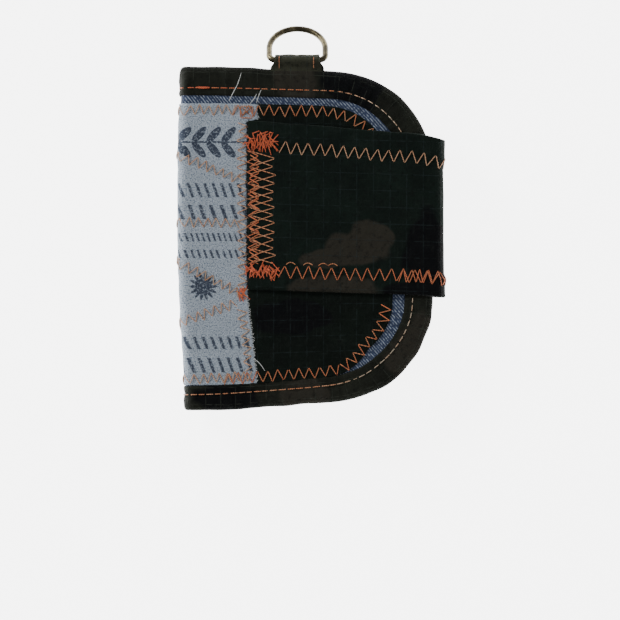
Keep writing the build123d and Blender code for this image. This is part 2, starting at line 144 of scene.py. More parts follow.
def spaced(low, high, step, first=EDGE, last=EDGE):
    """Stations from low to high about step apart, with closer ones beside both ends.

    An end that butts against another piece takes BUTT, so that hardly a groove shows.
    """
    count = max(2, int(round((high - low - first[1] - last[1]) / step)))
    inner = np.linspace(low + first[1], high - last[1], count + 1)
    return np.concatenate([[low, low + first[0]], inner, [high - last[0], high]])


def shares(width, step, first=EDGE):
    """Stations across a cloth, as shares of its width."""
    return spaced(0, width, step, first) / width


# ---------------------------------------------------------------- how the cloth lies
class Fold:
    """A rounded fold along Y at one side of a leaf, with the name of the body beyond it.

    It ends upright at turn_x, goes towards sign_x, and bends away from the side the leaf faces.
    """

    def __init__(self, body, turn_x, sign_x, radius):
        self.body, self.turn_x, self.sign_x, self.radius = body, turn_x, sign_x, radius
        self.start_x = turn_x - sign_x * radius

    def place(self, x, height, middle, side):
        """(x, z) of flat points at height above the middle of a leaf that faces side."""
        over = np.maximum(0, self.sign_x * (x - self.start_x))
        angle = np.minimum(over / self.radius, math.pi / 2)
        rest = np.maximum(0, over - self.radius * math.pi / 2)
        reach = self.radius + height
        folded = self.start_x + self.sign_x * reach * np.sin(angle)
        z = middle + side * (reach * np.cos(angle) - self.radius - rest)
        return np.where(over > 0, folded, x), z

    def flat_end(self, drop):
        """Flat x of the point that has gone drop down past the fold's start."""
        return self.start_x + self.sign_x * (self.radius * math.pi / 2 + drop - self.radius)


SPINE_FOLD = Fold("spine", SPINE_X, -1, 2.5)
NECK_FOLD = Fold("neck", NECK_X, 1, 1.8)
STRAP_FOLD = Fold("strap_side", STRAP_X, 1, 2.5)
SPINE_END = SPINE_FOLD.flat_end(FRONT_MID - SPINE_MIDDLE)
NECK_END = NECK_FOLD.flat_end(INNER_MID - NECK_MIDDLE)
STRAP_END = STRAP_FOLD.flat_end(STRAP_MID - STRAP_MIDDLE)


def askew(x, y):
    """The sideways and lengthways drift of hand-cut, hand-sewn leaves from the true outline."""
    left = 1 - smooth(LEAF_LEFT, -12, x)
    upper, lower = smooth(30, LEAF_TOP, y), smooth(2, 62, -y)
    right_low = smooth(12, 38, x) * np.exp(-(((y + 41) / 11) ** 2))
    dx = left * (1.0 * upper + 2.4 * lower) - 0.9 * right_low
    reach = (np.abs(y) / LEAF_TOP) ** 2
    dy = reach * np.where(y > 0, -1.6 * smooth(-40, 22, x), 3.4 * smooth(-40, 30, x))
    return dx, dy


class Leaf:
    """Where a body's cloth lies: its middle height, the side it faces, its fold and its waves."""

    def __init__(self, body, middle, side, fold, wave, seed):
        self.body, self.tag = body, body.removesuffix("_leaf")
        self.middle, self.side, self.fold = middle, side, fold
        self.wave, self.seed = wave, seed

    def waves(self, x, y):
        """Height of the soft waves that all layers of the leaf share."""
        broad = ripple(x, y, 19, self.seed) + 0.5 * ripple(x, y, 8, self.seed + 1)
        return self.wave * broad * smooth(-44, -34, x)

    def place(self, x, y, height):
        """Points in space, in millimetres, of flat (x, y) at height above the middle."""
        x, y = np.asarray(x, float), np.asarray(y, float)
        height = np.asarray(height, float) + self.waves(x, y)
        px, pz = self.fold.place(x, height, self.middle, self.side)
        dx, dy = askew(x, y)
        return np.stack(np.broadcast_arrays(px + dx, y + dy, pz), axis=-1)


FRONT = Leaf("front_leaf", FRONT_MID, 1, SPINE_FOLD, 0.22, 11)
BACK = Leaf("back_leaf", BACK_MID, -1, SPINE_FOLD, 0.0, 21)
BACK_INSIDE = Leaf("back_leaf", BACK_MID, -1, NECK_FOLD, 0.0, 21)
INNER = Leaf("inner_leaf", INNER_MID, 1, NECK_FOLD, 0.08, 31)


# ---------------------------------------------------------------- meshes
def add_object(name, data):
    """A new object in the scene."""
    thing = bpy.data.objects.new(name, data)
    bpy.context.scene.collection.objects.link(thing)
    return thing


def attach(piece, slot, *nodes, body=None):
    """Hide the CAD nodes a piece stands for, and fix it whole to the body it rides on. slot is not used.
    """
    if nodes:
        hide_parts(*nodes)
    if body:
        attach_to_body(piece, body)


def mesh_piece(name, points, faces, flat, material, tone=None):
    """A Blender object from points in millimetres, with its cloth's flat place as UV, in metres."""
    mesh = bpy.data.meshes.new(name)
    mesh.from_pydata((np.asarray(points) * MM).tolist(), [], [tuple(map(int, f)) for f in faces])
    mesh.validate()
    corners = np.zeros(len(mesh.loops), dtype=np.int32)
    mesh.loops.foreach_get("vertex_index", corners)
    layer_uv = mesh.uv_layers.new(name="cloth")
    layer_uv.data.foreach_set("uv", (np.asarray(flat, float)[corners] * MM).astype(np.float32).ravel())
    if tone is not None:
        shade = mesh.attributes.new("tone", "FLOAT", "POINT")
        shade.data.foreach_set("value", np.asarray(tone, np.float32))
    mesh.shade_smooth()
    mesh.materials.append(material)
    return add_object(name, mesh)


def grid_faces(index, flip=False):
    """Quads over a 2-D array of vertex numbers."""
    a, b, c, d = index[:-1, :-1], index[1:, :-1], index[1:, 1:], index[:-1, 1:]
    quads = np.stack([a, b, c, d] if flip else [a, d, c, b], axis=-1)
    return quads.reshape(-1, 4)


def closed_sheet(name, outer, inner, flat, material, flip=False):
    """A sheet of cloth with two faces that meet at a rounded rim, from two grids of points."""
    rows, columns = outer.shape[:2]
    top = np.arange(rows * columns).reshape(rows, columns)
    bottom = top.copy()
    bottom[1:-1, 1:-1] = rows * columns + np.arange((rows - 2) * (columns - 2)).reshape(rows - 2, -1)
    rim = np.ones((rows, columns), bool)
    rim[1:-1, 1:-1] = False
    outer = np.where(rim[..., None], (outer + inner) / 2, outer)
    points = np.concatenate([outer.reshape(-1, 3), inner[1:-1, 1:-1].reshape(-1, 3)])
    places = np.concatenate([flat.reshape(-1, 2), flat[1:-1, 1:-1].reshape(-1, 2)])
    faces = np.concatenate([grid_faces(top, flip), grid_faces(bottom, not flip)])
    return mesh_piece(name, points, faces, places, material)


def edge_round(stations):
    """Share of half the thickness at each station: none at both ends, most of it beside them."""
    share = np.ones(len(stations))
    share[0] = share[-1] = 0.0
    share[1] = share[-2] = 0.72
    return share


def thin_start(stations):
    """Share of half the thickness at each station: none at the first one, all of it elsewhere."""
    return np.where(np.arange(len(stations)) == 0, 0.0, 1.0)


def laid_sheet(name, leaf, x, y, bottom, top, share, material):
    """A sheet laid on a leaf between two heights. share thins it towards its edges."""
    middle, half = (top + bottom) / 2, (top - bottom) / 2
    outer = leaf.place(x, y, middle + half * share)
    inner = leaf.place(x, y, middle - half * share)
    return closed_sheet(name, outer, inner, np.stack([x, y], -1), material, leaf.side < 0)


def cloth_panel(name, leaf, x_stations, left, right, ys, top, bottom, material):
    """A flat-cut cloth between left(y) and right(y), laid on a leaf between two heights.

    x_stations run from 0 to 1 across the cloth. top and bottom are functions of flat (x, y).
    """
    low, high = left(ys)[:, None], right(ys)[:, None]
    x = low + (high - low) * x_stations[None, :]
    y = np.broadcast_to(ys[:, None], x.shape)
    share = edge_round(x_stations)[None, :] * edge_round(ys)[:, None]
    return laid_sheet(name, leaf, x, y, bottom(x, y), top(x, y), share, material)


def bend(piece):
    """Bake a piece's transform into its mesh. The piece already lies over its leaf's rounded fold, as it
    was built.
    """
    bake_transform(piece)


# ---------------------------------------------------------------- materials
# Short names of the shader inputs that are set
INPUT_NAMES = {
    "colour": "Base Color",
    "roughness": "Roughness",
    "relief": "Normal",
    "sheen": "Sheen Weight",
    "specular": "Specular IOR Level",
    "metal": "Metallic",
    "clear": "Transmission Weight",
    "ior": "IOR",
    "glow": "Emission Strength",
    "glow_colour": "Emission Color",
}


class Nodes:
    """A short way to write a material's nodes."""

    def __init__(self, name):
        self.material = bpy.data.materials.new(name)
        self.material.use_nodes = True
        self.tree = self.material.node_tree
        self.shader = self.tree.nodes["Principled BSDF"]

    def add(self, kind, inputs=(), **settings):
        """A node with its settings and inputs, either values or other nodes' outputs."""
        node = self.tree.nodes.new(kind)
        for key, value in settings.items():
            setattr(node, key, value)
        for key, value in dict(inputs).items():
            self.put(node.inputs[key], value)
        return node

    def put(self, socket, value):
        """Set a socket to a value, or link it to another node's output."""
        if isinstance(value, bpy.types.NodeSocket):
            self.tree.links.new(value, socket)
        else:
            socket.default_value = value

    def math(self, operation, a, b=0.0, c=0.0):
        """The result of one arithmetic node."""
        return self.add("ShaderNodeMath", {0: a, 1: b, 2: c}, operation=operation).outputs[0]

    def cloth(self):
        """The flat place on the cloth, in millimetres, as x and y."""
        place = self.add("ShaderNodeUVMap", uv_map="cloth").outputs[0]
        self.place = self.add("ShaderNodeVectorMath", {0: place, 3: 1000.0}, operation="SCALE").outputs[0]
        split = self.add("ShaderNodeSeparateXYZ", {0: self.place})
        return split.outputs[0], split.outputs[1]

    def noise(self, size, detail=2.0, rough=0.5, stretch=(1, 1, 1)):
        """Soft random values with spots about size millimetres apart."""
        place = self.add("ShaderNodeVectorMath", {0: self.place, 1: stretch}, operation="MULTIPLY")
        inputs = {"Vector": place.outputs[0], "Scale": 1 / size, "Detail": detail, "Roughness": rough}
        return self.add("ShaderNodeTexNoise", inputs).outputs[0]

    def ramp(self, value, low, high):
        """0 below low and 1 above high."""
        inputs = {"Value": value, "From Min": low, "From Max": high}
        return self.add("ShaderNodeMapRange", inputs, interpolation_type="SMOOTHSTEP").outputs[0]

    def mix(self, share, a, b, kind="MIX"):
        """Colour a where share is 0, and b where it is 1."""
        a, b = [(*x, 1.0) if isinstance(x, tuple) else x for x in (a, b)]
        node = self.add("ShaderNodeMix", {0: share, 6: a, 7: b}, data_type="RGBA", blend_type=kind)
        return node.outputs[2]

    def tint(self, colour, mask, strength, shade):
        """The colour, moved towards shade by strength where mask is 1."""
        return self.mix(self.math("MULTIPLY", mask, strength), colour, shade)

    def stripe(self, value, period, width):
        """1 on lines of that width, one each period."""
        away = self.math("PINGPONG", value, period / 2)
        return self.ramp(away, width, width * 0.35)

    def weave(self, x, y, pitch):
        """The over-and-under relief of a plain weave."""
        turn = 2 * math.pi / pitch
        wave_x = self.math("SINE", self.math("MULTIPLY", x, turn))
        wave_y = self.math("SINE", self.math("MULTIPLY", y, turn))
        return self.math("MULTIPLY", wave_x, wave_y)

    def blob(self, x, y, centre, size, edge=0.22):
        """A camouflage blotch: 1 inside a wandering oval at centre."""
        dx = self.math("DIVIDE", self.math("SUBTRACT", x, centre[0]), size[0])
        dy = self.math("DIVIDE", self.math("SUBTRACT", y, centre[1]), size[1])
        away = self.math("ADD", self.math("POWER", dx, 2.0), self.math("POWER", dy, 2.0))
        wander = self.math("MULTIPLY_ADD", self.noise(9.0, 1.0), 1.9, -0.95)
        return self.ramp(self.math("ADD", away, wander), 1 + edge, 1 - edge)

    def bump(self, height, depth, below=None):
        """Relief of a height from 0 to 1, depth millimetres high, on top of the relief below."""
        inputs = {"Height": height, "Strength": 0.9, "Distance": depth * MM}
        if below is not None:
            inputs["Normal"] = below
        return self.add("ShaderNodeBump", inputs).outputs[0]

    def shade(self, **inputs):
        """Set inputs of the shader, by the short names in INPUT_NAMES."""
        for name, value in inputs.items():
            self.put(self.shader.inputs[INPUT_NAMES[name]], value)

    def finish(self, colour, roughness, relief=None, **inputs):
        """The material, once its colour, roughness, relief and other shader inputs are set."""
        self.shade(colour=colour, roughness=roughness, **inputs)
        if relief is not None:
            self.shade(relief=relief)
        return self.material


def srgb(*levels):
    """A display colour, each level up to 255, as scene-linear values."""
    return tuple((v / 255 / 12.92) if v <= 10 else ((v / 255 + 0.055) / 1.055) ** 2.4 for v in levels)


def scaled(colour, by):
    """A colour made darker or lighter."""
    return tuple(by * level for level in colour)


# Spacing of the ripstop's heavier threads
GRID = 5.8
OLIVE_BLACK, GREEN_BLACK = srgb(26, 28, 22), srgb(11, 22, 17)
BROWN_GREY, NIGHT = srgb(41, 39, 33), srgb(3, 4, 6)
# Flecks, rubbed patches, streaks along both yarns and dark patches on the ripstop: each one's
# noise, the two noise values its mask runs between, its strength and its colour
RIPSTOP_WEAR = [
    ((0.35, 2.0, 0.6), (0.62, 0.8), 0.2, srgb(48, 54, 51)),
    ((1.4, 3.0, 0.7, (1.0, 0.25, 1.0)), (0.55, 0.85), 0.2, srgb(46, 50, 46)),
    ((0.9, 2.0, 0.6, (0.12, 1.4, 1.0)), (0.58, 0.8), 0.4, srgb(38, 46, 42)),
    ((0.9, 2.0, 0.6, (1.5, 0.1, 1.0)), (0.58, 0.8), 0.4, srgb(34, 42, 38)),
    ((2.4, 4.0, 0.75), (0.5, 0.3), 0.6, srgb(3, 5, 4)),
]


def ripstop(name, ground, blotches=(), tilt=0.0, line=srgb(34, 44, 45)):
    """Dark camouflage ripstop: a fine plain weave with a grid of heavier threads."""
    n = Nodes(name)
    x, y = n.cloth()
    tone = n.ramp(n.noise(14.0, 2.0), 0.35, 0.65)
    colour = n.mix(tone, scaled(ground, 0.78), scaled(ground, 1.2))
    for shade, centre, size in blotches:
        colour = n.mix(n.blob(x, y, centre, size), colour, shade)
    slope = n.math("MULTIPLY_ADD", x, tilt, y)
    across, along = n.stripe(x, GRID, 0.2), n.stripe(slope, GRID, 0.2)
    lines = n.math("MAXIMUM", across, along)
    broken = n.ramp(n.noise(3.0, 3.0), 0.36, 0.62)
    colour = n.tint(colour, n.math("MULTIPLY", lines, broken), 0.6, line)
    for noise, limits, strength, shade in RIPSTOP_WEAR:
        colour = n.tint(colour, n.ramp(n.noise(*noise), *limits), strength, shade)
    fine = n.bump(n.weave(x, y, 0.42), 0.05)
    ribs = n.bump(lines, 0.09, fine)
    crumple = n.bump(n.noise(3.2, 5.0, 0.6), 0.55, ribs)
    roughness = n.math("MULTIPLY_ADD", n.noise(5.0), 0.2, 0.72)
    return n.finish(colour, roughness, crumple, sheen=0.03, specular=0.1)


def denim():
    """Blue twill with pale weft showing as slanted lines."""
    n = Nodes("blue_denim")
    x, y = n.cloth()
    slant = n.math("ADD", x, n.math("MULTIPLY", y, 0.85))
    wobble = n.math("MULTIPLY_ADD", n.noise(1.2, 2.0), 0.5, slant)
    twill = n.stripe(wobble, 1.15, 0.3)
    patchy = n.ramp(n.noise(1.1, 3.0), 0.38, 0.6)
    colour = n.mix(n.noise(2.2, 3.0), srgb(26, 36, 58), srgb(60, 74, 104))
    colour = n.tint(colour, n.math("MULTIPLY", twill, patchy), 0.85, srgb(158, 168, 180))
    relief = n.bump(twill, 0.13, n.bump(n.weave(x, y, 0.55), 0.08))
    return n.finish(colour, 0.9, relief, sheen=0.15, specular=0.2)


# Rows of printed bars: bottom, top, spacing and bar width
BAR_ROWS = [
    (14.2, 19.4, 2.9, 0.8),
    (6.6, 11.8, 3.7, 1.0),
    (-1.2, 2.0, 1.9, 0.55),
    (-7.0, -3.9, 2.2, 0.6),
    (-38.8, -34.2, 3.1, 0.88),
    (-47.0, -41.6, 3.6, 0.95),
]


def print_ink(n, x, y):
    """A worn block print of plain shapes: sprigs of leaves, rows of bars and a round flower."""

    def oval(cx, cy, long, short, turn):
        dx, dy = n.math("SUBTRACT", x, cx), n.math("SUBTRACT", y, cy)
        c, s = math.cos(turn), math.sin(turn)
        u = n.math("ADD", n.math("MULTIPLY", dx, c / long), n.math("MULTIPLY", dy, s / long))
        v = n.math("ADD", n.math("MULTIPLY", dx, -s / short), n.math("MULTIPLY", dy, c / short))
        away = n.math("ADD", n.math("POWER", u, 2.0), n.math("POWER", v, 2.0))
        return n.ramp(away, 1.12, 0.9)

    def band(low, high):
        middle, half = (low + high) / 2, (high - low) / 2
        away = n.math("ABSOLUTE", n.math("SUBTRACT", y, middle))
        return n.ramp(away, half, half - 0.25)

    lean = n.math("MULTIPLY_ADD", y, 0.35, x)
    shapes = [band(33.2, 34.1)]
    for i in range(4):
        shapes += [oval(-43.0 + 5.2 * i, 33.6 + side * 2.6, 3.5, 1.35, side * 0.85) for side in (-1, 1)]
    for low, high, period, width in BAR_ROWS:
        shapes.append(n.math("MULTIPLY", n.stripe(lean, period, width), band(low, high)))
    shapes += [oval(-36.5, -16.8, 5.0, 0.75, math.pi * i / 7) for i in range(7)]
    ink = 0.0
    for shape in shapes:
        ink = n.math("MAXIMUM", ink, shape)
    worn = n.ramp(n.noise(0.8, 4.0, 0.7), 0.3, 0.52)
    return n.math("MULTIPLY", ink, worn)


def chambray():
    """Pale blue-grey printed cotton, speckled by its two-tone yarn."""
    n = Nodes("printed_chambray")
    x, y = n.cloth()
    speck = n.ramp(n.noise(0.45, 3.0, 0.65), 0.42, 0.66)
    colour = n.mix(speck, srgb(170, 180, 190), srgb(92, 104, 122))
    threads = n.ramp(n.noise(0.9, 3.0, 0.6, (0.25, 1.6, 1.0)), 0.55, 0.8)
    colour = n.tint(colour, threads, 0.3, srgb(176, 184, 192))
    colour = n.tint(colour, print_ink(n, x, y), 0.95, srgb(44, 52, 68))
    pepper = n.ramp(n.noise(1.5, 4.0, 0.8), 0.66, 0.73)
    colour = n.tint(colour, pepper, 0.55, srgb(44, 50, 64))
    relief = n.bump(n.noise(3.0, 4.0), 0.5, n.bump(n.weave(x, y, 0.6), 0.1))
    return n.finish(colour, 0.92, relief, sheen=0.03, specular=0.1)


def plain_cloth(name, ground, pitch=0.6):
    """A plain woven lining."""
    n = Nodes(name)
    x, y = n.cloth()
    colour = n.mix(n.noise(6.0, 3.0), scaled(ground, 0.75), scaled(ground, 1.25))
    slub = n.ramp(n.noise(0.8, 2.0, 0.6, (0.2, 1.5, 1.0)), 0.55, 0.8)
    colour = n.tint(colour, slub, 0.3, scaled(ground, 1.9))
    relief = n.bump(n.noise(3.0, 3.0), 0.2, n.bump(n.weave(x, y, pitch), 0.08))
    return n.finish(colour, 0.88, relief, sheen=0.1)


# The sewing thread's colours, by tone
THREAD_SHADES = [
    (0.0, srgb(205, 192, 168)),
    (0.35, srgb(212, 164, 126)),
    (0.65, srgb(202, 126, 78)),
    (1.0, srgb(224, 98, 48)),
]


def thread():
    """Spun thread, from cream through tan to orange as each strand's tone goes from 0 to 1, with painted
    shade in the grooves of its twist.
    """
    n = Nodes("sewing_thread")
    x, y = n.cloth()
    tone = n.add("ShaderNodeAttribute", attribute_name="tone").outputs["Fac"]
    tone = n.math("ADD", tone, n.math("MULTIPLY_ADD", n.noise(3.5, 2.0), 0.4, -0.2))
    ramp = n.add("ShaderNodeValToRGB", {0: tone})
    while len(ramp.color_ramp.elements) < len(THREAD_SHADES):
        ramp.color_ramp.elements.new(0.5)
    for element, (place, shade) in zip(ramp.color_ramp.elements, THREAD_SHADES):
        element.position, element.color = place, (*shade, 1.0)
    twist = n.math("SINE", n.math("MULTIPLY", n.math("ADD", x, n.math("MULTIPLY", y, 1.6)), 9.0))
    # Painted shade: the colour is darkened in the low grooves of the twist, where its relief dips.
    colour = n.mix(n.ramp(twist, 0.2, -1.0), ramp.outputs[0], (0.35, 0.3, 0.28), "MULTIPLY")
    return n.finish(colour, 0.62, n.bump(twist, 0.07), sheen=0.2)


def strand(name, shade):
    """A bare loose yarn."""
    n = Nodes(name)
    n.cloth()
    colour = n.mix(n.noise(0.7, 2.0), scaled(shade, 0.7), scaled(shade, 1.2))
    return n.finish(colour, 0.85, n.bump(n.noise(0.3, 1.0), 0.04))


def aged_brass():
    """Antique brass wire: dark olive patina, rubbed bright in places."""
    n = Nodes("aged_brass")
    metres = n.add("ShaderNodeTexCoord").outputs["Object"]
    n.place = n.add("ShaderNodeVectorMath", {0: metres, 3: 1000.0}, operation="SCALE").outputs[0]
    worn = n.ramp(n.noise(5.0, 4.0, 0.6), 0.42, 0.75)
    colour = n.mix(worn, srgb(56, 51, 37), srgb(126, 117, 90))
    pits = n.ramp(n.noise(0.35, 3.0, 0.7), 0.6, 0.75)
    colour = n.tint(colour, pits, 0.35, srgb(32, 30, 23))
    roughness = n.math("MULTIPLY_ADD", n.noise(1.2, 3.0), 0.3, 0.22)
    return n.finish(colour, roughness, n.bump(n.noise(0.8, 4.0, 0.6), 0.06), metal=0.9)


def vinyl():
    """Clear, slightly smoky pocket film, scuffed by use."""
    n = Nodes("clear_vinyl")
    n.cloth()
    scuffs = n.ramp(n.noise(1.6, 5.0, 0.7, (0.3, 1.4, 1.0)), 0.5, 0.8)
    roughness = n.math("MULTIPLY_ADD", scuffs, 0.3, 0.08)
    colour = n.mix(n.noise(8.0), srgb(226, 232, 232), srgb(240, 244, 242))
    return n.finish(colour, roughness, n.bump(n.noise(7.0, 2.0), 0.25), clear=0.85, ior=1.45)


def fastener(name, shade, pitch, depth):
    """Hook-and-loop tape: rows of hooks, or a felt of fine loops, with painted shade in the low nap and
    painted highlight on its tops.
    """
    n = Nodes(name)
    x, y = n.cloth()
    fuzz = n.noise(pitch * 0.8, 4.0, 0.8)
    rows = n.weave(x, y, pitch * 2)
    height = n.math("MULTIPLY_ADD", rows, 0.4, fuzz)
    # Painted shade and painted highlight: the colour darkens where the nap is low and lightens where it
    # stands high.
    colour = n.mix(n.ramp(height, 0.2, 0.9), scaled(shade, 0.45), scaled(shade, 1.5))
    return n.finish(colour, 0.8, n.bump(height, depth), sheen=0.3)


BINDING_CLOTH = ripstop("binding_ripstop", OLIVE_BLACK, [
    (NIGHT, (17.0, 55.0), (13.0, 9.0)),
    (BROWN_GREY, (-4.0, 56.0), (7.5, 9.0)),
    (BROWN_GREY, (72.0, 56.0), (9.0, 9.0)),
    (BROWN_GREY, (130.0, 57.0), (14.0, 7.0)),
    (NIGHT, (96.0, 55.0), (11.0, 7.0)),
    (BROWN_GREY, (178.0, 56.0), (8.0, 6.0)),
    (NIGHT, (206.0, 56.0), (12.0, 7.0)),
], line=srgb(54, 58, 51))
PATCH_CLOTH = ripstop("patch_ripstop", srgb(8, 16, 11), [(NIGHT, (-6.0, -28.0), (14.0, 6.0))])
STRAP_CLOTH = ripstop("strap_ripstop", GREEN_BLACK, [
    (BROWN_GREY, (22.0, -1.5), (9.0, 7.5)),
    (BROWN_GREY, (14.5, -3.8), (9.0, 6.0)),
    (BROWN_GREY, (7.0, -7.0), (9.5, 3.6)),
    (BROWN_GREY, (10.5, -17.5), (15.5, 4.6)),
    (NIGHT, (43.0, -6.0), (9.0, 15.0)),
    (NIGHT, (38.0, -18.0), (12.0, 3.4)),
], tilt=0.03)
LOOP_CLOTH = ripstop("loop_ripstop", srgb(56, 57, 46), [(NIGHT, (12.0, 58.0), (7.0, 14.0))])
DENIM = denim()
CHAMBRAY = chambray()
LINING = plain_cloth("lining_cotton", srgb(58, 62, 60))
POCKET_CLOTH = plain_cloth("pocket_cotton", srgb(70, 72, 64), 0.8)
THREAD = thread()
DARK_YARN = strand("dark_yarn", srgb(22, 30, 28))
PALE_YARN = strand("pale_yarn", srgb(205, 208, 205))
BRASS = aged_brass()
VINYL = vinyl()
HOOK_TAPE = fastener("hook_tape_black", srgb(28, 28, 30), 0.9, 0.5)
LOOP_TAPE = fastener("loop_tape_black", srgb(34, 34, 36), 0.5, 0.4)


# ---------------------------------------------------------------- leaf outline
# Shares of the way round the edge, from the spine along the top, right and bottom, and how
# far in from the edge the tape, its stitch line and the dark patch reach there.
ROUND_STOPS = (0.0, 0.2, 0.32, 0.5, 0.7, 0.77, 0.82, 1.0)
TAPE_WIDTHS = (10.0, 10.2, 10.9, 9.2, 11.0, 10.3, 9.6, 8.3)
STITCH_INSETS = (7.4, 7.4, 7.7, 6.5, 8.0, 7.0, 6.2, 5.3)
PATCH_INSETS = (12.9, 12.9, 14.4, 13.6, 14.9, 10.4, 9.3, 8.0)


class Outline:
    """The sewn edge of a leaf: from the left along the top, round the right, back along the bottom."""

    def __init__(self, left, right=LEAF_RIGHT, top=LEAF_TOP, corner=CORNER):
        self.left, self.right, self.top, self.corner = left, right, top, corner
        straight = right - corner - left
        arc = corner * math.pi / 2
        self.lengths = [straight, arc, 2 * (top - corner), arc, straight]
        self.total = sum(self.lengths)

    def at(self, distance):
        """Points (x, y) and inward directions at distances along the edge."""
        distance = np.asarray(distance, float)
        ends = np.cumsum(self.lengths)
        cx, cy = self.right - self.corner, self.top - self.corner
        turn = np.clip((distance - ends[0]) / self.corner, 0, math.pi / 2)
        turn = turn + np.clip((distance - ends[2]) / self.corner, 0, math.pi / 2)
        drop = np.clip(distance - ends[1], 0, self.lengths[2])
        angle = math.pi / 2 - turn
        first = np.minimum(distance - ends[0], 0)
        last = np.maximum(distance - ends[3], 0)
        x = cx + self.corner * np.cos(angle) + first - last
        y = cy + self.corner * np.sin(angle) - drop
        return np.stack([x, y], -1), np.stack([-np.cos(angle), -np.sin(angle)], -1)

    def inset(self, distance, depth):
        """Points at a depth in from the edge."""
        points, inward = self.at(distance)
        return points + inward * np.asarray(depth, float)[..., None]

    def right_side(self, depths):
        """A function giving the right-hand x at any y, for a line at varying depth in."""
        distance = np.linspace(self.lengths[0] * 0.4, self.total - self.lengths[4] * 0.4, 700)
        return side_line(self.inset(distance, self.stops(distance, depths)))

    def stops(self, distance, depths):
        """A depth kept at ROUND_STOPS, at distances along the edge."""
        return np.interp(distance / self.total, ROUND_STOPS, depths)


LEAF = Outline(SPINE_END)
# Heights of the cloths above the leaf's middle, and where the neck interrupts the back leaf's
# binding, as distances along the edge
BASE_HEIGHTS = (-BASE_HALF, BASE_HALF)
LINING_HEIGHTS = (-BASE_HALF - LINING_THICK, -BASE_HALF)
NECK_START = LEAF.lengths[0] + LEAF.lengths[1] + LEAF_TOP - CORNER - NECK_HIGH
NECK_GAP = (NECK_START, NECK_START + NECK_HIGH - NECK_LOW)


def pucker(distance, across, seed):
    """Gathers that run across a seam, strongest on it."""
    streak = ripple(distance, 0 * distance, 2.3, seed) + 0.6 * ripple(distance, across, 1.2, seed + 1)
    return streak * np.exp(-((across / 2.8) ** 2))


def leaf_cloth(name, leaf, heights, material, step, inset=0.5):
    """A whole-leaf cloth between two heights, from mid spine to the bound edge."""
    top_y = LEAF_TOP - inset
    right = LEAF.right_side([inset] * len(ROUND_STOPS))
    return cloth_panel(name, leaf, shares(LEAF_RIGHT - SPINE_END, step, BUTT), constant(SPINE_END),
                       right, spaced(-top_y, top_y, step), constant(heights[1]),
                       constant(heights[0]), material)


# ---------------------------------------------------------------- bound edge
# The tape's outer face as (share of the way in from the edge, height above the leaf's face),
# up over the edge, then its inner face back again.
TAPE_FACE = [
    (1.0, 0.16), (0.985, 0.42), (0.95, 0.56), (0.88, 0.62), (0.8, 0.6), (0.66, 0.66), (0.5, 0.76),
    (0.36, 0.8), (0.24, 0.76), (0.14, 0.62), (0.07, 0.36), (0.025, 0.0), (0.0, -0.5),
]


def tape_place(outline, distance, inset):
    """Flat place on a binding: along it, and in from its edge."""
    start = getattr(outline, "left", 0.0)
    return np.stack(np.broadcast_arrays(start + distance, LEAF_TOP - inset), -1)


def tape_rings(leaf, outline, distance, face, back, widths, stitches, seed):
    """Points round the tape's section at each distance along the edge, and their flat places."""
    depth, stitch = [np.interp(distance / outline.total, ROUND_STOPS, at) for at in (widths, stitches)]
    rings, places = [], []
    middle, half = (face + back) / 2, (face - back) / 2
    for side in (1, -1):
        for share, rise in TAPE_FACE if side > 0 else TAPE_FACE[-2::-1]:
            inset = share * depth
            across = inset - stitch
            dent = 0.34 * np.exp(-((across / 0.75) ** 2))
            gather = 0.36 * smooth(0.02, 0.3, share) * pucker(distance, across * 0.5, seed + (side < 0))
            height = rise + (gather - dent * (share > 0.1)) * (0.3 < share < 0.99 or side > 0)
            wobble = 0.22 * ripple(distance, 0 * distance, 6.0, seed + 7) * (share < 0.3)
            spot = outline.inset(distance, inset + wobble)
            level = middle + side * (half + np.maximum(height, -half))
            rings.append(leaf.place(spot[:, 0], spot[:, 1], level))
            places.append(tape_place(outline, distance, inset))
    for side in (-1, 1):
        for share in (0.985, 0.5, 0.14)[::-side]:
            spot = outline.inset(distance, share * depth)
            height = np.full(len(distance), middle + side * half * 0.985)
            rings.append(leaf.place(spot[:, 0], spot[:, 1], height))
            places.append(tape_place(outline, distance, share * depth))
    return np.stack(rings, axis=1), np.stack(places, axis=1)


def binding(name, leaf, outline, face, back, spans, widths, stitches, seed, step=0.8):
    """A tape folded over a leaf's edge along each span of the outline.

    face and back are the heights of the leaf's two faces, above its middle.
    """
    points, faces, flat = [], [], []
    for start, end in spans:
        distance = np.linspace(start, end, int((end - start) / step) + 1)
        rings, places = tape_rings(leaf, outline, distance, face, back, widths, stitches, seed)
        rows, around = rings.shape[:2]
        index = len(points) + np.arange(rows * around).reshape(rows, around)
        closed = np.concatenate([index, index[:, :1]], axis=1)
        points.extend(rings.reshape(-1, 3))
        flat.extend(places.reshape(-1, 2))
        faces.extend(grid_faces(closed, leaf.side > 0).tolist())
        faces.append(list(index[0]) if leaf.side < 0 else list(index[0][::-1]))
        faces.append(list(index[-1][::-1]) if leaf.side < 0 else list(index[-1]))
    return mesh_piece(name, points, faces, flat, BINDING_CLOTH)


# ---------------------------------------------------------------- patches on both leaves
PATCH_TOP, PRINT_LOW = 47.2, -51.3
PRINT_RIGHT, PRINT_TAB, TAB_Y = -21.0, -17.4, 41.3


def print_edge(y):
    """Right-hand edge of the printed patch: a tab at the top, a flare at the bottom."""
    tab = smooth(TAB_Y - 0.4, TAB_Y + 0.4, y)
    flare = np.clip((-20 - y) / 31, 0, 1)
    ragged = 0.22 * ripple(y, 0 * y, 1.7, 41)
    return PRINT_RIGHT + (PRINT_TAB - PRINT_RIGHT) * tab + 3.4 * flare + ragged


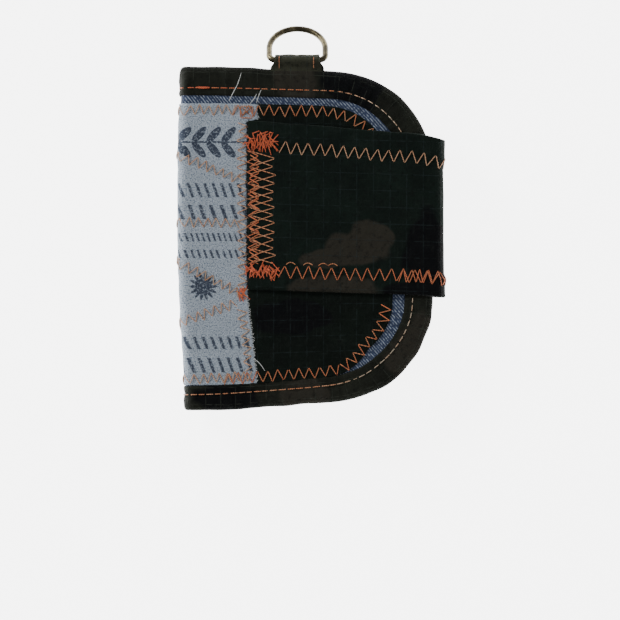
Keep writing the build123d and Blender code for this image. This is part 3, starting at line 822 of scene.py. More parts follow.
def patch_height(seed):
    """Top face of a patch on a leaf: the cloth's thickness and its small bumps."""

    def height(x, y):
        bumps = 0.15 * ripple(x, y, 3.4, seed) + 0.07 * ripple(x, y, 1.5, seed + 1)
        return BASE_HALF + PATCH_THICK + bumps
    return height


# Zigzag rows that hold the printed patch, and the columns along its right-hand edge
PRINT_ROWS = [
    ((-49.2, 44.8), (-25.0, 44.8)),
    ((-49.2, 30.6), (-24.0, 20.8)),
    ((-49.2, 5.6), (-23.5, 5.2)),
    ((-49.2, -6.5), (-23.5, -19.2)),
    ((-49.2, -30.8), (-25.0, -22.6)),
    ((-49.2, -49.3), (-19.5, -48.4)),
]
PRINT_COLUMNS = [
    ((-22.6, 40.5), (-22.4, -18.0)),
    ((-23.0, -24.6), (-20.6, -46.6)),
]


def print_height(seed):
    """Top of the printed patch, pulled down along its zigzag rows."""
    plain = patch_height(seed)

    def height(x, y):
        z = plain(x, y)
        for (x0, y0), (x1, y1) in PRINT_ROWS:
            line = y0 + (y1 - y0) * (x - x0) / (x1 - x0)
            z = z - 0.2 * np.exp(-(((y - line) / 1.3) ** 2))
        return z
    return height


def leaf_patches(leaf, seed, step):
    """The printed patch with its spine half, and the dark patch, on one leaf."""
    printed = cloth_panel(f"{leaf.tag}_print_cloth", leaf, shares(26, step, BUTT), constant(SPINE_END),
                          print_edge, spaced(PRINT_LOW, PATCH_TOP, step), print_height(seed),
                          constant(BASE_HALF), CHAMBRAY)
    attach(printed, "print_cloth", f"{leaf.tag}_print_patch", "spine_print_patch")
    bend(printed)
    low = -(LEAF_TOP - PATCH_INSETS[-1])
    dark = cloth_panel(f"{leaf.tag}_dark_cloth", leaf, shares(48, step), lambda y: print_edge(y) + 0.25,
                       LEAF.right_side(PATCH_INSETS), spaced(low, PATCH_TOP, step),
                       patch_height(seed + 3), constant(BASE_HALF), PATCH_CLOTH)
    attach(dark, "dark_ripstop", f"{leaf.tag}_dark_patch", body=leaf.body)


def leaf_body_cloths(leaf, step):
    """The denim base and the lining of the front or back leaf, with their spine halves."""
    for part, heights, cloth, slot in (("base", BASE_HEIGHTS, DENIM, "denim"),
                                       ("lining", LINING_HEIGHTS, LINING, "lining_cloth")):
        piece = leaf_cloth(f"{leaf.tag}_{part}_cloth", leaf, heights, cloth, step)
        attach(piece, slot, f"{leaf.tag}_{part}", f"spine_{part}")
        bend(piece)


def leaf_binding(leaf, spans, seed):
    """The tape that binds the edge of the front or back leaf along spans of it."""
    piece = binding(f"{leaf.tag}_binding_tape", leaf, LEAF, BASE_HEIGHTS[1], LINING_HEIGHTS[0], spans,
                    TAPE_WIDTHS, STITCH_INSETS, seed)
    attach(piece, "binding_tape", f"{leaf.tag}_binding")
    bend(piece)


def build_leaves():
    """Front and back leaves: base, lining, patches and bound edges."""
    leaf_body_cloths(FRONT, 1.0)
    leaf_body_cloths(BACK, 1.2)
    leaf_patches(FRONT, 51, 0.6)
    leaf_patches(BACK, 61, 1.0)
    leaf_binding(FRONT, [(0, LEAF.total)], 71)
    leaf_binding(BACK, [(0, NECK_GAP[0]), (NECK_GAP[1], LEAF.total)], 81)


# ---------------------------------------------------------------- stitching
def strands(name, leaf, legs, tones, surface, radius=THREAD_RADIUS, arch=0.16, samples=7, sides=6,
            sunk=0.2, bow=0.0):
    """Short threads, each from one needle hole to the next, as closed tubes.

    legs are pairs of flat points; surface gives the cloth's height above the leaf's middle.
    """
    legs = np.asarray(legs, float)
    count = len(legs)
    t = np.linspace(0, 1, samples)
    flat = legs[:, :1, :] * (1 - t)[None, :, None] + legs[:, 1:, :] * t[None, :, None]
    run = legs[:, 1] - legs[:, 0]
    aside = unit(np.stack([-run[:, 1], run[:, 0]], -1))
    flat = flat + bow * np.sin(math.pi * t)[None, :, None] * aside[:, None, :]
    x, y = flat[..., 0], flat[..., 1]
    rise = (np.sin(math.pi * t) ** 0.5)[None, :]
    height = surface(x, y) - sunk + rise * (sunk + radius * 0.6 + arch)
    centre = leaf.place(x, y, height)
    along = unit(np.gradient(centre, axis=1))
    side = unit(np.cross(along, unit(leaf.place(x, y, height + 0.2) - centre)))
    up = np.cross(side, along)
    angle = np.linspace(0, 2 * math.pi, sides, endpoint=False)
    ring = np.cos(angle)[:, None] * side[..., None, :] + np.sin(angle)[:, None] * up[..., None, :]
    thick = radius * (0.7 + 0.3 * np.sin(math.pi * t) ** 0.4)
    points = centre[..., None, :] + ring * thick[None, :, None, None]
    index = np.arange(count * samples * sides).reshape(count, samples, sides)
    faces = []
    for block in index:
        closed = np.concatenate([block, block[:, :1]], axis=1)
        faces.extend(grid_faces(closed).tolist())
        faces.extend([list(block[0]), list(block[-1][::-1])])
    places = np.repeat(flat.reshape(-1, 2), sides, axis=0)
    tone = np.repeat(np.asarray(tones, float), samples * sides)
    return mesh_piece(name, points.reshape(-1, 3), faces, places, THREAD, tone)


def zigzag(path, swing, step, rng, uneven=0.18):
    """Legs of a zigzag seam along a path of flat points."""
    path = np.asarray(path, float)
    run = run_along(path)
    count = max(2, int(round(run[-1] / step)))
    at = np.linspace(0, run[-1], count + 1)
    at[1:-1] += rng.uniform(-uneven, uneven, count - 1) * step * 0.6
    x, y = np.interp(at, run, path[:, 0]), np.interp(at, run, path[:, 1])
    dx, dy = np.gradient(x), np.gradient(y)
    size = np.hypot(dx, dy)
    reach = swing / 2 * np.where(np.arange(count + 1) % 2, 1, -1)
    reach = reach * (1 + rng.uniform(-uneven, uneven, count + 1) * 0.6)
    holes = np.stack([x - dy / size * reach, y + dx / size * reach], -1)
    return list(zip(holes[:-1], holes[1:]))


def running(path, stitch, gap, rng):
    """Legs of a straight seam: a stitch, then a small gap, along a path of flat points."""
    path = np.asarray(path, float)
    run = run_along(path)
    legs, at = [], 0.3
    while at + stitch < run[-1]:
        long = stitch * rng.uniform(0.82, 1.14)
        ends = np.array([at, at + long])
        x, y = np.interp(ends, run, path[:, 0]), np.interp(ends, run, path[:, 1])
        legs.append(((x[0], y[0]), (x[1], y[1])))
        at += long + gap * rng.uniform(0.7, 1.4)
    return legs


def tack(centre, size, count, rng):
    """A dense, untidy knot of crossing threads."""
    legs = []
    for i in range(count):
        x = centre[0] + size[0] * (i / count - 0.5) + rng.uniform(-0.6, 0.6)
        y = centre[1] + size[1] * rng.uniform(-0.3, 0.3)
        turn = math.pi / 2 + rng.uniform(-1.0, 1.0)
        half = size[1] * rng.uniform(0.18, 0.5)
        dx, dy = half * math.cos(turn), half * math.sin(turn)
        legs.append(((x - dx, y - dy), (x + dx, y + dy)))
    return legs


def along_leaf(inset_stops, start, end, extra=0.0):
    """A path round the bound edge between two shares of its length."""
    distance = np.linspace(start, end, 260) * LEAF.total
    return LEAF.inset(distance, LEAF.stops(distance, inset_stops) + extra)


# Height of the binding along its stitch line
TAPE_GROOVE = BASE_HALF + 0.52


def patch_threads(leaf, seed):
    """Zigzag rows that hold both patches, on one leaf."""
    rng = np.random.default_rng(seed)
    legs, tones = [], []

    def add(new, tone):
        legs.extend(new)
        tones.extend(np.clip(tone + rng.uniform(-0.1, 0.1, len(new)), 0, 1))

    for start, end in PRINT_ROWS + PRINT_COLUMNS:
        add(zigzag(np.linspace(start, end, 20), 3.6, 1.6, rng, 0.34), 0.34)
    cross = ((-23.2, 46.2), (-19.2, 42.4)), ((-23.2, 42.4), (-19.2, 46.2))
    add([leg for leg in cross for _ in (0, 1)], 0.62)
    box = [(-23.4, 46.3), (-19.0, 46.3), (-19.0, 42.2), (-23.4, 42.2), (-23.4, 46.3)]
    add(list(zip(box[:-1], box[1:])), 0.6)
    upper = along_leaf(PATCH_INSETS, 0.085, 0.36, 2.2)
    lower = along_leaf(PATCH_INSETS, 0.585, 0.93, 2.2)
    add(zigzag(upper, 4.2, 1.85, rng), 0.62)
    add(zigzag(lower, 4.2, 1.85, rng), 0.72)
    add(tack((-22.6, -19.4), (2.2, 5.4), 14, rng), 1.0)
    piece = strands(f"{leaf.tag}_patch_thread", leaf, legs, tones, patch_height(51))
    attach(piece, "orange_thread", f"{leaf.tag}_patch_stitch")
    bend(piece)


def binding_threads(leaf, spans, seed):
    """The straight stitch line along a leaf's binding, with a dense start near the spine."""
    rng = np.random.default_rng(seed)
    legs, tones = [], []
    for start, end in spans:
        new = running(along_leaf(STITCH_INSETS, start, end), 2.35, 0.55, rng)
        legs.extend(new)
        for (x, y), _ in new:
            warm = 0.9 if y > 0 else 0.55
            tones.append(np.interp(x, [-40, 5, 18], [warm, 0.62, 0.12]) + rng.uniform(-0.1, 0.1))
    first = along_leaf(STITCH_INSETS, 0.0, 0.1)
    start = int(0.36 * len(first))
    for _ in range(6):
        a, b = first[start + rng.integers(0, 12)], first[start + 34 + rng.integers(0, 16)]
        legs.append((a + rng.uniform(-0.25, 0.25, 2), b + rng.uniform(-0.25, 0.25, 2)))
        tones.append(1.0)
    piece = strands(f"{leaf.tag}_binding_thread", leaf, legs, tones, constant(TAPE_GROOVE), arch=0.1)
    attach(piece, "orange_thread", f"{leaf.tag}_binding_stitch")
    bend(piece)


# ---------------------------------------------------------------- strap
STRAP_LEFT = node_box("strap_front")[0][0]
TAIL_LEFT = node_box("strap_tail")[0][0]
# The strap's long edges: flat x, and the upper and lower y there
STRAP_XS = (STRAP_LEFT, 40.0, STRAP_X)
STRAP_TOPS, STRAP_LOWS = (41.2, 36.3, 34.6), (-17.8, -20.0, -20.6)
# How much the tail narrows, over what length, and how its free end rounds off
TAIL_TAPER, TAIL_LENGTH, TAIL_ROUND, TAIL_CORNER = 2.0, 58, 5.0, 4.6
# Half the strap's thickness, and the width of its turned hems
STRAP_HALF = 0.5
HEM = 7.4
# The zigzag columns that anchor the strap: middle x, top y, swing and step
ANCHOR_ROWS = (
    (-15.7, 30.6, 9.4, 2.75),
    (-15.7, 27.9, 9.0, 2.75),
    (-18.8, 30.6, 4.0, 1.9),
    (-18.4, 29.2, 3.6, 2.1),
)
ANCHOR_FOOT = -9.0


def strap_top(x):
    """Upper long edge of the strap at flat x."""
    return np.interp(x, STRAP_XS, STRAP_TOPS) + 0.18 * ripple(x, 0 * x, 7, 91)


def strap_low(x):
    """Lower long edge of the strap at flat x."""
    return np.interp(x, STRAP_XS, STRAP_LOWS) + 0.15 * ripple(x, 0 * x, 7, 93)


def tail_inset(x):
    """How far the tail's edges have drawn in at x: it tapers and rounds off at its free end."""
    end = np.clip((x - TAIL_LEFT) / TAIL_ROUND, 0, 1)
    taper = TAIL_TAPER * np.clip((STRAP_X - x) / TAIL_LENGTH, 0, 1)
    return taper + TAIL_CORNER * (1 - np.sqrt(1 - (1 - end) ** 2))


def tail_top(x):
    """Upper edge of the tail."""
    return STRAP_TOPS[-1] - tail_inset(x)


def tail_low(x):
    """Lower edge of the tail."""
    return STRAP_LOWS[-1] + tail_inset(x)


class StrapLeaf(Leaf):
    """The strap, which isn't askew with the leaves it holds."""

    def waves(self, x, y):
        """Height of the strap's own waves."""
        return self.wave * (ripple(x, y, 16, self.seed) + 0.5 * ripple(x, y, 6, self.seed + 1))

    def place(self, x, y, height):
        """Points in space of flat (x, y) at height above the middle."""
        x, y = np.asarray(x, float), np.asarray(y, float)
        height = np.asarray(height, float) + self.waves(x, y)
        px, pz = self.fold.place(x, height, self.middle, self.side)
        return np.stack(np.broadcast_arrays(px, y, pz), axis=-1)


STRAP = StrapLeaf("front_leaf", STRAP_MID, 1, STRAP_FOLD, 0.2, 101)
TAIL = StrapLeaf("strap_tail", TAIL_MID, -1, STRAP_FOLD, 0.0, 111)


def strap_height(x, y):
    """Top of the strap: raised hems along both long edges, gathered by their stitching."""
    from_top, from_low = strap_top(x) - y, y - strap_low(x)
    hem = smooth(HEM + 0.5, HEM - 0.5, from_top) + smooth(HEM + 0.3, HEM - 0.7, from_low)
    gather = 0.32 * ripple(x, y * 0.3, 2.1, 121) * np.maximum(
        np.exp(-(((from_top - HEM) / 3) ** 2)), np.exp(-(((from_low - HEM + 1.2) / 3) ** 2)))
    seams = 0.1 * np.exp(-(((from_top - HEM - 2.2) / 1.2) ** 2))
    return STRAP_HALF + 0.45 * hem + gather - seams + 0.08 * ripple(x, y, 3.0, 123)


def strap_cloth(name, leaf, left, top, low, height, step):
    """One half of the strap, from its end to half way down the side."""
    xs = spaced(left, STRAP_END, step, EDGE, BUTT)
    rows = shares(54, step)
    x = np.broadcast_to(xs[None, :], (len(rows), len(xs)))
    y = low(x) + (top(x) - low(x)) * rows[:, None]
    share = edge_round(rows)[:, None] * thin_start(xs)[None, :]
    lower = np.full(x.shape, -STRAP_HALF)
    return laid_sheet(name, leaf, x, y, lower, height(x, y), share, STRAP_CLOTH)


def seam_path(offset, left, right, edge):
    """A path at a fixed distance in from a long edge of the strap."""
    x = np.linspace(left, right, 160)
    return np.stack([x, edge(x) + offset], -1)


def build_strap():
    """The strap's sewn front and its tail, each with half of its side."""
    front = strap_cloth("strap_front_cloth", STRAP, STRAP_LEFT, strap_top, strap_low, strap_height, 0.6)
    attach(front, "dark_ripstop", "strap_front", "strap_side")
    bend(front)
    tail = strap_cloth("strap_tail_cloth", TAIL, TAIL_LEFT, tail_top, tail_low, constant(STRAP_HALF), 0.9)
    attach(tail, "dark_ripstop", "strap_tail", "strap_side")
    bend(tail)


def hem_threads(rng):
    """The zigzags that hold the strap's hems, denser at the lower right, and four slack loops."""
    legs = zigzag(seam_path(-8.4, -9.6, STRAP_END - 1, strap_top), 4.6, 2.0, rng)
    tones = [0.38] * len(legs)
    low = zigzag(seam_path(6.6, -10.0, STRAP_END - 1, strap_low), 4.6, 2.05, rng)
    dense = zigzag(seam_path(6.5, 32.0, STRAP_END - 1, strap_low), 4.8, 1.5, rng, 0.35)
    legs += low + dense
    tones += [0.78] * (len(low) + len(dense))
    hem = strands("strap_hem_thread", STRAP, legs, tones, strap_height)
    attach(hem, "orange_thread", "strap_hem_stitch")
    bend(hem)
    starts = (-7.5, -1.5, 3.8, 7.2)
    legs = [((x, strap_low(x) + 9.0), (x + 3.6, strap_low(x + 3.6) + 9.2)) for x in starts]
    loops = strands("strap_loop_thread", STRAP, legs, [0.6] * len(legs), strap_height, bow=0.9)
    attach(loops, "orange_thread", body="front_leaf")


def anchor_threads(rng):
    """The zigzag columns at the strap's sewn end, and the tacks above and below them."""
    legs, tones = [], []
    for x, top, swing, step in ANCHOR_ROWS:
        new = zigzag(np.linspace((x, top), (x, ANCHOR_FOOT), 60), swing, step, rng, 0.2)
        legs += new
        tones += [0.55 if swing > 5 else 0.8] * len(new)
    anchor = strands("strap_anchor_thread", STRAP, legs, tones, strap_height)
    attach(anchor, "orange_thread", "strap_anchor_stitch", body="front_leaf")

    legs = tack((-15.6, 33.2), (9.2, 6.4), 34, rng)
    legs += [(b, (b[0] + rng.uniform(-3, 3), b[1] + rng.uniform(-2.5, 1.5))) for _, b in legs[::2]]
    legs += tack((-15.4, -11.4), (11.2, 5.6), 38, rng)
    tacks = strands("strap_tack_thread", STRAP, legs, [1.0] * len(legs), strap_height, arch=0.4)
    attach(tacks, "orange_thread", "strap_bar_tacks", body="front_leaf")


def build_threads():
    """All stitching on the strap and on the front and back leaves."""
    rng = np.random.default_rng(131)
    hem_threads(rng)
    anchor_threads(rng)
    patch_threads(FRONT, 141)
    patch_threads(BACK, 151)
    gap_start, gap_end = (at / LEAF.total for at in NECK_GAP)
    binding_threads(FRONT, [(0.004, 0.996)], 161)
    binding_threads(BACK, [(0.004, gap_start), (gap_end, 0.996)], 171)


# ---------------------------------------------------------------- ring loop
RING_LOW, RING_HIGH = node_box("d_ring")
LOOP_HIGH = node_box("ring_loop")[1]
RING_X = (RING_LOW[0] + RING_HIGH[0]) / 2
BAR_Y, BAR_Z = LOOP_HIGH[1] - 1.75, LOOP_HIGH[2] - 1.75
LOOP_TAPE_HALF = 0.28
# Where the loop tape starts, inside the bound edge, and its widths there and round the bar
LOOP_FOOT = LEAF_TOP - 3.0
LOOP_WIDTH, LOOP_NARROWER = 18.7, 3.1
BAR_CLEARANCE = 1.4
LOOP_STITCHES = (-6.3, 5.7)


def loop_path():
    """Centre line (y, z) of the loop tape: out of the bound edge, round the bar and back in."""
    foot, mid = LOOP_FOOT, FRONT_MID
    over = [(foot, mid + 0.5), (foot + 1.5, mid + 0.5), (foot + 3.0, mid + 0.9)]
    radius = BAR_CLEARANCE + LOOP_TAPE_HALF
    turn = np.radians(np.linspace(105, -105, 16))
    bar = [(BAR_Y + radius * math.cos(a), BAR_Z + radius * math.sin(a)) for a in turn]
    under = [(foot + 3.0, mid - 0.35), (foot + 1.5, mid - 0.3), (foot, mid - 0.3)]
    corners = np.array(over + bar + under)
    run = run_along(corners)
    even = np.linspace(0, run[-1], 60)
    line = np.stack([np.interp(even, run, corners[:, k]) for k in (0, 1)], -1)
    return softened(line, 3), even


def loop_tape(line, even):
    """The folded tape that holds the D-ring, along a centre line with even distances."""
    tangent = unit(np.gradient(line, axis=0))
    normal = np.stack([-tangent[:, 1], tangent[:, 0]], -1)
    rows = spaced(-1.0, 1.0, 0.05, (0.018, 0.05), (0.018, 0.05))
    near_bar = smooth(59.3, 62.3, line[:, 0])
    half = (LOOP_WIDTH - LOOP_NARROWER * near_bar) / 2
    x = RING_X + rows[None, :] * half[:, None]
    crease = 0.1 * near_bar[:, None] * ripple(x, 0 * x, 1.9, 181)
    crease = crease + 0.07 * ripple(x, line[:, :1], 3.2, 183)
    dip = sum(np.exp(-(((x - RING_X - at) / 0.6) ** 2)) for at in LOOP_STITCHES)
    crease = crease - 0.1 * dip * (even < 6)[:, None]
    lift = LOOP_TAPE_HALF * edge_round(rows)[None, :] * np.ones(x.shape)
    lift[0] = lift[-1] = 0.0
    points = []
    for offset in (crease + lift, crease - lift):
        y = line[:, :1] + normal[:, :1] * offset
        z = line[:, 1:] + normal[:, 1:] * offset
        points.append(np.stack([x, y, z], -1))
    flat = np.stack([x, np.broadcast_to(LOOP_FOOT + even[:, None], x.shape)], -1)
    loop = closed_sheet("ring_loop_tape", points[0], points[1], flat, LOOP_CLOTH)
    attach(loop, "loop_cloth", "ring_loop", body="front_leaf")


def loop_threads(line):
    """Two short rows of stitches that close the loop beside the bound edge."""
    rng = np.random.default_rng(191)
    legs = []
    for at in LOOP_STITCHES:
        path = [(RING_X + at, LEAF_TOP - 0.9), (RING_X + at, LEAF_TOP + 3.6)]
        legs += running(path, 1.25, 0.1, rng)

    def surface(x, y):
        return np.interp(y, line[:24, 0], line[:24, 1]) - FRONT_MID + LOOP_TAPE_HALF

    straight = StrapLeaf("front_leaf", FRONT_MID, 1, SPINE_FOLD, 0, 1)
    stitched = strands("ring_loop_thread", straight, legs, [0.6] * len(legs), surface, radius=0.13)
    attach(stitched, "orange_thread", "ring_loop_stitch", body="front_leaf")


def build_ring():
    """The loop of tape with its stitching, and the D-ring's finish."""
    line, even = loop_path()
    loop_tape(line, even)
    loop_threads(line)
    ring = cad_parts["d_ring"].data
    ring.materials.clear()
    ring.materials.append(BRASS)
    ring.shade_smooth()


# ---------------------------------------------------------------- neck and inner leaf
# Half the thickness of the inner leaf's core and of the neck's shell, and with their lining
CORE_HALF, LINED_HALF = 0.4, 0.8
INNER_TAPE, INNER_STITCH = 7.0, 5.0


class InnerOutline:
    """The inner leaf's edge: round at the right, nearly square at the left."""

    def __init__(self):
        low, high = node_box("inner_binding")
        self.low, self.high = low, high

    def corners(self, inset):
        """The edge, inset, as a closed loop of points starting under the neck."""
        left, right, top = self.low[0] + inset, self.high[0] - inset, self.high[1] - inset
        big, small = CORNER - inset, max(8.0 - inset, 1.5)
        arcs = [(right - big, -top + big, big, -90), (right - big, top - big, big, 0),
                (left + small, top - small, small, 90), (left + small, -top + small, small, 180)]
        loop = []
        for cx, cy, radius, first in arcs:
            turn = np.radians(np.linspace(first, first + 90, 48 if radius > 10 else 14))
            loop += [(cx + radius * math.cos(a), cy + radius * math.sin(a)) for a in turn]
        return np.array(loop)

    def sides(self, inset):
        """Functions that give the left-hand and right-hand x at any y."""
        loop = self.corners(inset)
        right = loop[:, 0] > self.low[0] + 12
        return side_line(loop[~right]), side_line(loop[right])


INNER_EDGE = InnerOutline()


def inner_cloth(name, node, slot, material, heights):
    """A whole cloth of the inner leaf."""
    top = INNER_EDGE.high[1] - 0.5
    piece = cloth_panel(name, INNER, shares(51, 1.3), *INNER_EDGE.sides(0.5), spaced(-top, top, 1.3),
                        constant(heights[1]), constant(heights[0]), material)
    attach(piece, slot, node, body="inner_leaf")


class LoopEdge:
    """Lets binding() follow the inner leaf's closed edge from one side of the neck to the other."""

    def __init__(self):
        loop = INNER_EDGE.corners(0.0)[:-1]
        self.loop = np.concatenate([loop, loop, loop[:1]])
        self.run = run_along(self.loop)
        self.total = self.run[-1] / 2

    def point(self, distance):
        """Points (x, y) at distances along the edge."""
        return np.stack([np.interp(distance, self.run, self.loop[:, k]) for k in (0, 1)], -1)

    def at(self, distance):
        """Points (x, y) and inward directions at distances along the edge."""
        along = unit(self.point(distance + 0.4) - self.point(distance - 0.4))
        return self.point(distance), np.stack([-along[:, 1], along[:, 0]], -1)

    def inset(self, distance, depth):
        """Points at a depth in from the edge."""
        points, inward = self.at(np.asarray(distance, float))
        return points + inward * np.asarray(depth, float)[..., None]

    def where(self, y):
        """Distance along the straight right-hand side at height y."""
        near = np.abs(self.loop[: len(self.loop) // 2, 0] - LEAF_RIGHT) < 0.01
        marks = np.flatnonzero(near)
        ys, runs = self.loop[marks, 1], self.run[marks]
        return float(np.interp(y, ys, runs))


def inner_binding():
    """The inner leaf's tape, from the neck's upper end right round to its lower end, and its stitches."""
    edge = LoopEdge()
    start, end = edge.where(NECK_HIGH), edge.total + edge.where(NECK_LOW)
    widths, stitches = [[value] * len(ROUND_STOPS) for value in (INNER_TAPE, INNER_STITCH)]
    tape = binding("inner_binding_tape", INNER, edge, LINED_HALF, -LINED_HALF, [(start, end)], widths,
                   stitches, 201, 1.1)
    attach(tape, "binding_tape", "inner_binding", body="inner_leaf")
    rng = np.random.default_rng(211)
    path = edge.inset(np.linspace(start + 1, end - 1, 300), np.full(300, INNER_STITCH))
    legs = running(path, 2.4, 0.6, rng)
    groove = constant(LINED_HALF + 0.4)
    seam = strands("inner_binding_thread", INNER, legs, [0.3] * len(legs), groove, samples=5, sides=5)
    attach(seam, "orange_thread", body="inner_leaf")


def neck_half(name, leaf, low, high, material):
    """One cloth of the neck, from inside a leaf's edge to half way up the neck."""
    xs = spaced(LEAF_RIGHT - INNER_TAPE - 0.5, NECK_END, 0.45, EDGE, BUTT)
    ys = spaced(NECK_LOW + 0.2, NECK_HIGH - 0.2, 1.2)
    x, y = np.meshgrid(xs, ys)
    share = edge_round(ys)[:, None] * thin_start(xs)[None, :]
    return laid_sheet(name, leaf, x, y, low, high, share, material)


def build_inner():
    """The inner leaf with its binding, and its neck."""
    skin, core, lining = (-LINED_HALF, -CORE_HALF), (-CORE_HALF, CORE_HALF), (CORE_HALF, LINED_HALF)
    inner_cloth("inner_skin_cloth", "inner_skin", "lining_cloth", LINING, skin)
    inner_cloth("inner_core_cloth", "inner_core", "denim", DENIM, core)
    inner_cloth("inner_lining_cloth", "inner_lining", "lining_cloth", LINING, lining)
    inner_binding()
    for part, (low, high), cloth, slot in (("shell", core, DENIM, "denim"),
                                           ("lining", skin, LINING, "lining_cloth")):
        for half, leaf in (("lower", BACK_INSIDE), ("upper", INNER)):
            piece = neck_half(f"neck_{part}_{half}", leaf, low, high, cloth)
            attach(piece, slot, f"neck_{part}")
            bend(piece)


# ---------------------------------------------------------------- pockets
# Width of a pocket's turned hem, and how far in from its edges it is sewn down
POCKET_HEM, POCKET_INSET = 8.0, 1.5


def pocket_threads(name, node, leaf, surface, side, seed):
    """The seam round a pocket's three sewn sides, and the one along its hem."""
    rng = np.random.default_rng(seed)
    low, high = node_box(node)
    west, south = low[0] + POCKET_INSET, low[1] + POCKET_INSET
    east, hem_y, top = high[0] - POCKET_INSET, high[1] - POCKET_HEM + 1, high[1] - 1
    legs = running([(west, top), (west, south), (east, south), (east, top)], 2.3, 0.6, rng)
    legs += running([(west, hem_y), (east, hem_y)], 2.3, 0.6, rng)
    under = {} if side > 0 else {"arch": -0.3, "sunk": -0.1}
    seam = strands(f"{name}_thread", leaf, legs, [0.35] * len(legs), surface, samples=5, sides=5, **under)
    attach(seam, "orange_thread", f"{node}_seams", body=leaf.body)


def pocket(name, node, leaf, floor, seed, material=POCKET_CLOTH, side=1, slot="lining_cloth",
           settled=0.0):
    """A patch pocket sewn on three sides, with a turned hem at its open top.

    floor is the height of the cloth below it, above the leaf's middle, and settled is how far
    the empty panel has sunk towards that cloth.
    """
    low, high = node_box(node)
    left, right, bottom, top = low[0], high[0], low[1], high[1]
    panel = sorted(((low[2] - leaf.middle) * leaf.side, (high[2] - leaf.middle) * leaf.side))
    face = (panel[1] if side > 0 else panel[0]) - side * settled
    thick = (panel[1] - panel[0]) * 0.9

    def middle(x, y):
        edge = np.minimum(np.minimum(x - left, right - x), y - bottom)
        rise = smooth(0.4, 5.0, edge)
        base = floor + side * thick * 0.6
        sag = 0.12 * ripple(x, y, 9, seed) * rise
        crimp = 0.07 * ripple(x, y, 1.8, seed + 1) * np.exp(-((edge / 2.5) ** 2))
        return base + (face - side * thick / 2 - base) * rise + sag + crimp

    def hem(y):
        return 0.22 * smooth(top - POCKET_HEM, top - POCKET_HEM + 0.7, y)

    def upper(x, y):
        return middle(x, y) + thick / 2 + (hem(y) if side > 0 else 0)

    def lower(x, y):
        return middle(x, y) - thick / 2 - (hem(y) if side < 0 else 0)

    piece = cloth_panel(name, leaf, shares(right - left, 1.2), constant(left), constant(right),
                        spaced(bottom, top, 1.2), upper, lower, material)
    attach(piece, slot, node, body=leaf.body)
    surface = upper if side > 0 else lambda x, y: lower(x, y) - 0.1
    pocket_threads(name, node, leaf, surface, side, seed)


def build_pockets():
    """Bill and card pockets on the back leaf, the slip pocket, and the clear window."""
    inside = LINING_HEIGHTS[0]
    pocket("bill_pocket_cloth", "bill_pocket", BACK, inside, 221, side=-1)
    pocket("card_pocket_cloth", "card_pocket", BACK, inside - 1.3, 231, side=-1, settled=0.65)
    pocket("slip_pocket_cloth", "slip_pocket", INNER, LINED_HALF, 241)
    pocket("id_window_film", "id_window", FRONT, inside, 251, VINYL, side=-1, slot="clear_vinyl")


def tape_patch(name, node, material, slot, body, seed):
    """A rectangle of hook or loop tape with rounded corners and a sewn border."""
    low, high = node_box(node)
    xs, ys = spaced(low[0], high[0], 1.0), spaced(low[1], high[1], 1.0)
    x, y = np.meshgrid(xs, ys)
    middle, half = (low[2] + high[2]) / 2, (high[2] - low[2]) / 2
    share = edge_round(ys)[:, None] * edge_round(xs)[None, :]
    nap = 0.08 * ripple(x, y, 1.5, seed)
    border = np.minimum(np.minimum(x - low[0], high[0] - x), np.minimum(y - low[1], high[1] - y))
    half = half - 0.22 * np.exp(-(((border - 2.0) / 0.8) ** 2))
    corner = 2.0
    px = np.clip(x, low[0] + corner, high[0] - corner)
    py = np.clip(y, low[1] + corner, high[1] - corner)
    away = np.maximum(np.hypot(x - px, y - py), 1e-6)
    pull = np.maximum(1, away / corner)
    x, y = px + (x - px) / pull, py + (y - py) / pull
    outer = np.stack([x, y, middle + (half + nap) * share], -1)
    inner = np.stack([x, y, middle - (half + nap) * share], -1)
    piece = closed_sheet(name, outer, inner, np.stack([x, y], -1), material)
    attach(piece, slot, node, body=body)


def build_tapes():
    """The hook tape on the strap's tail and the loop tape on the back leaf."""
    tape_patch("hook_tape_patch", "hook_tape", HOOK_TAPE, "fastener_hook", "strap_tail", 261)
    tape_patch("loop_tape_patch", "loop_tape", LOOP_TAPE, "fastener_loop", "back_leaf", 271)


# ---------------------------------------------------------------- frayed edges and loose threads
def yarn(name, lines, radius, material, sides=5):
    """Loose yarns as tapering tubes along smoothed lines of points in space."""
    points, faces, flat = [], [], []
    for line in lines:
        line = np.asarray(line, float)
        at = np.linspace(0, len(line) - 1, 6 * (len(line) - 1) + 1)
        corners = np.stack([np.interp(at, range(len(line)), line[:, k]) for k in range(3)], -1)
        smooth_line = softened(corners, 5)
        along = unit(np.gradient(smooth_line, axis=0))
        side = unit(np.cross(along, (0, 0, 1.0)))
        up = np.cross(side, along)
        thick = radius * (0.55 + 0.45 * np.sin(np.linspace(0.3, math.pi - 0.1, len(at))))
        angle = np.linspace(0, 2 * math.pi, sides, endpoint=False)
        ring = np.cos(angle)[:, None] * side[:, None] + np.sin(angle)[:, None] * up[:, None]
        block = smooth_line[:, None] + ring * thick[:, None, None]
        index = len(points) + np.arange(len(at) * sides).reshape(len(at), sides)
        faces.extend(grid_faces(np.concatenate([index, index[:, :1]], axis=1)).tolist())
        faces.extend([list(index[0]), list(index[-1][::-1])])
        points.extend(block.reshape(-1, 3))
        flat.extend(np.repeat(smooth_line[:, :2], sides, axis=0))
    return mesh_piece(name, points, faces, flat, material)


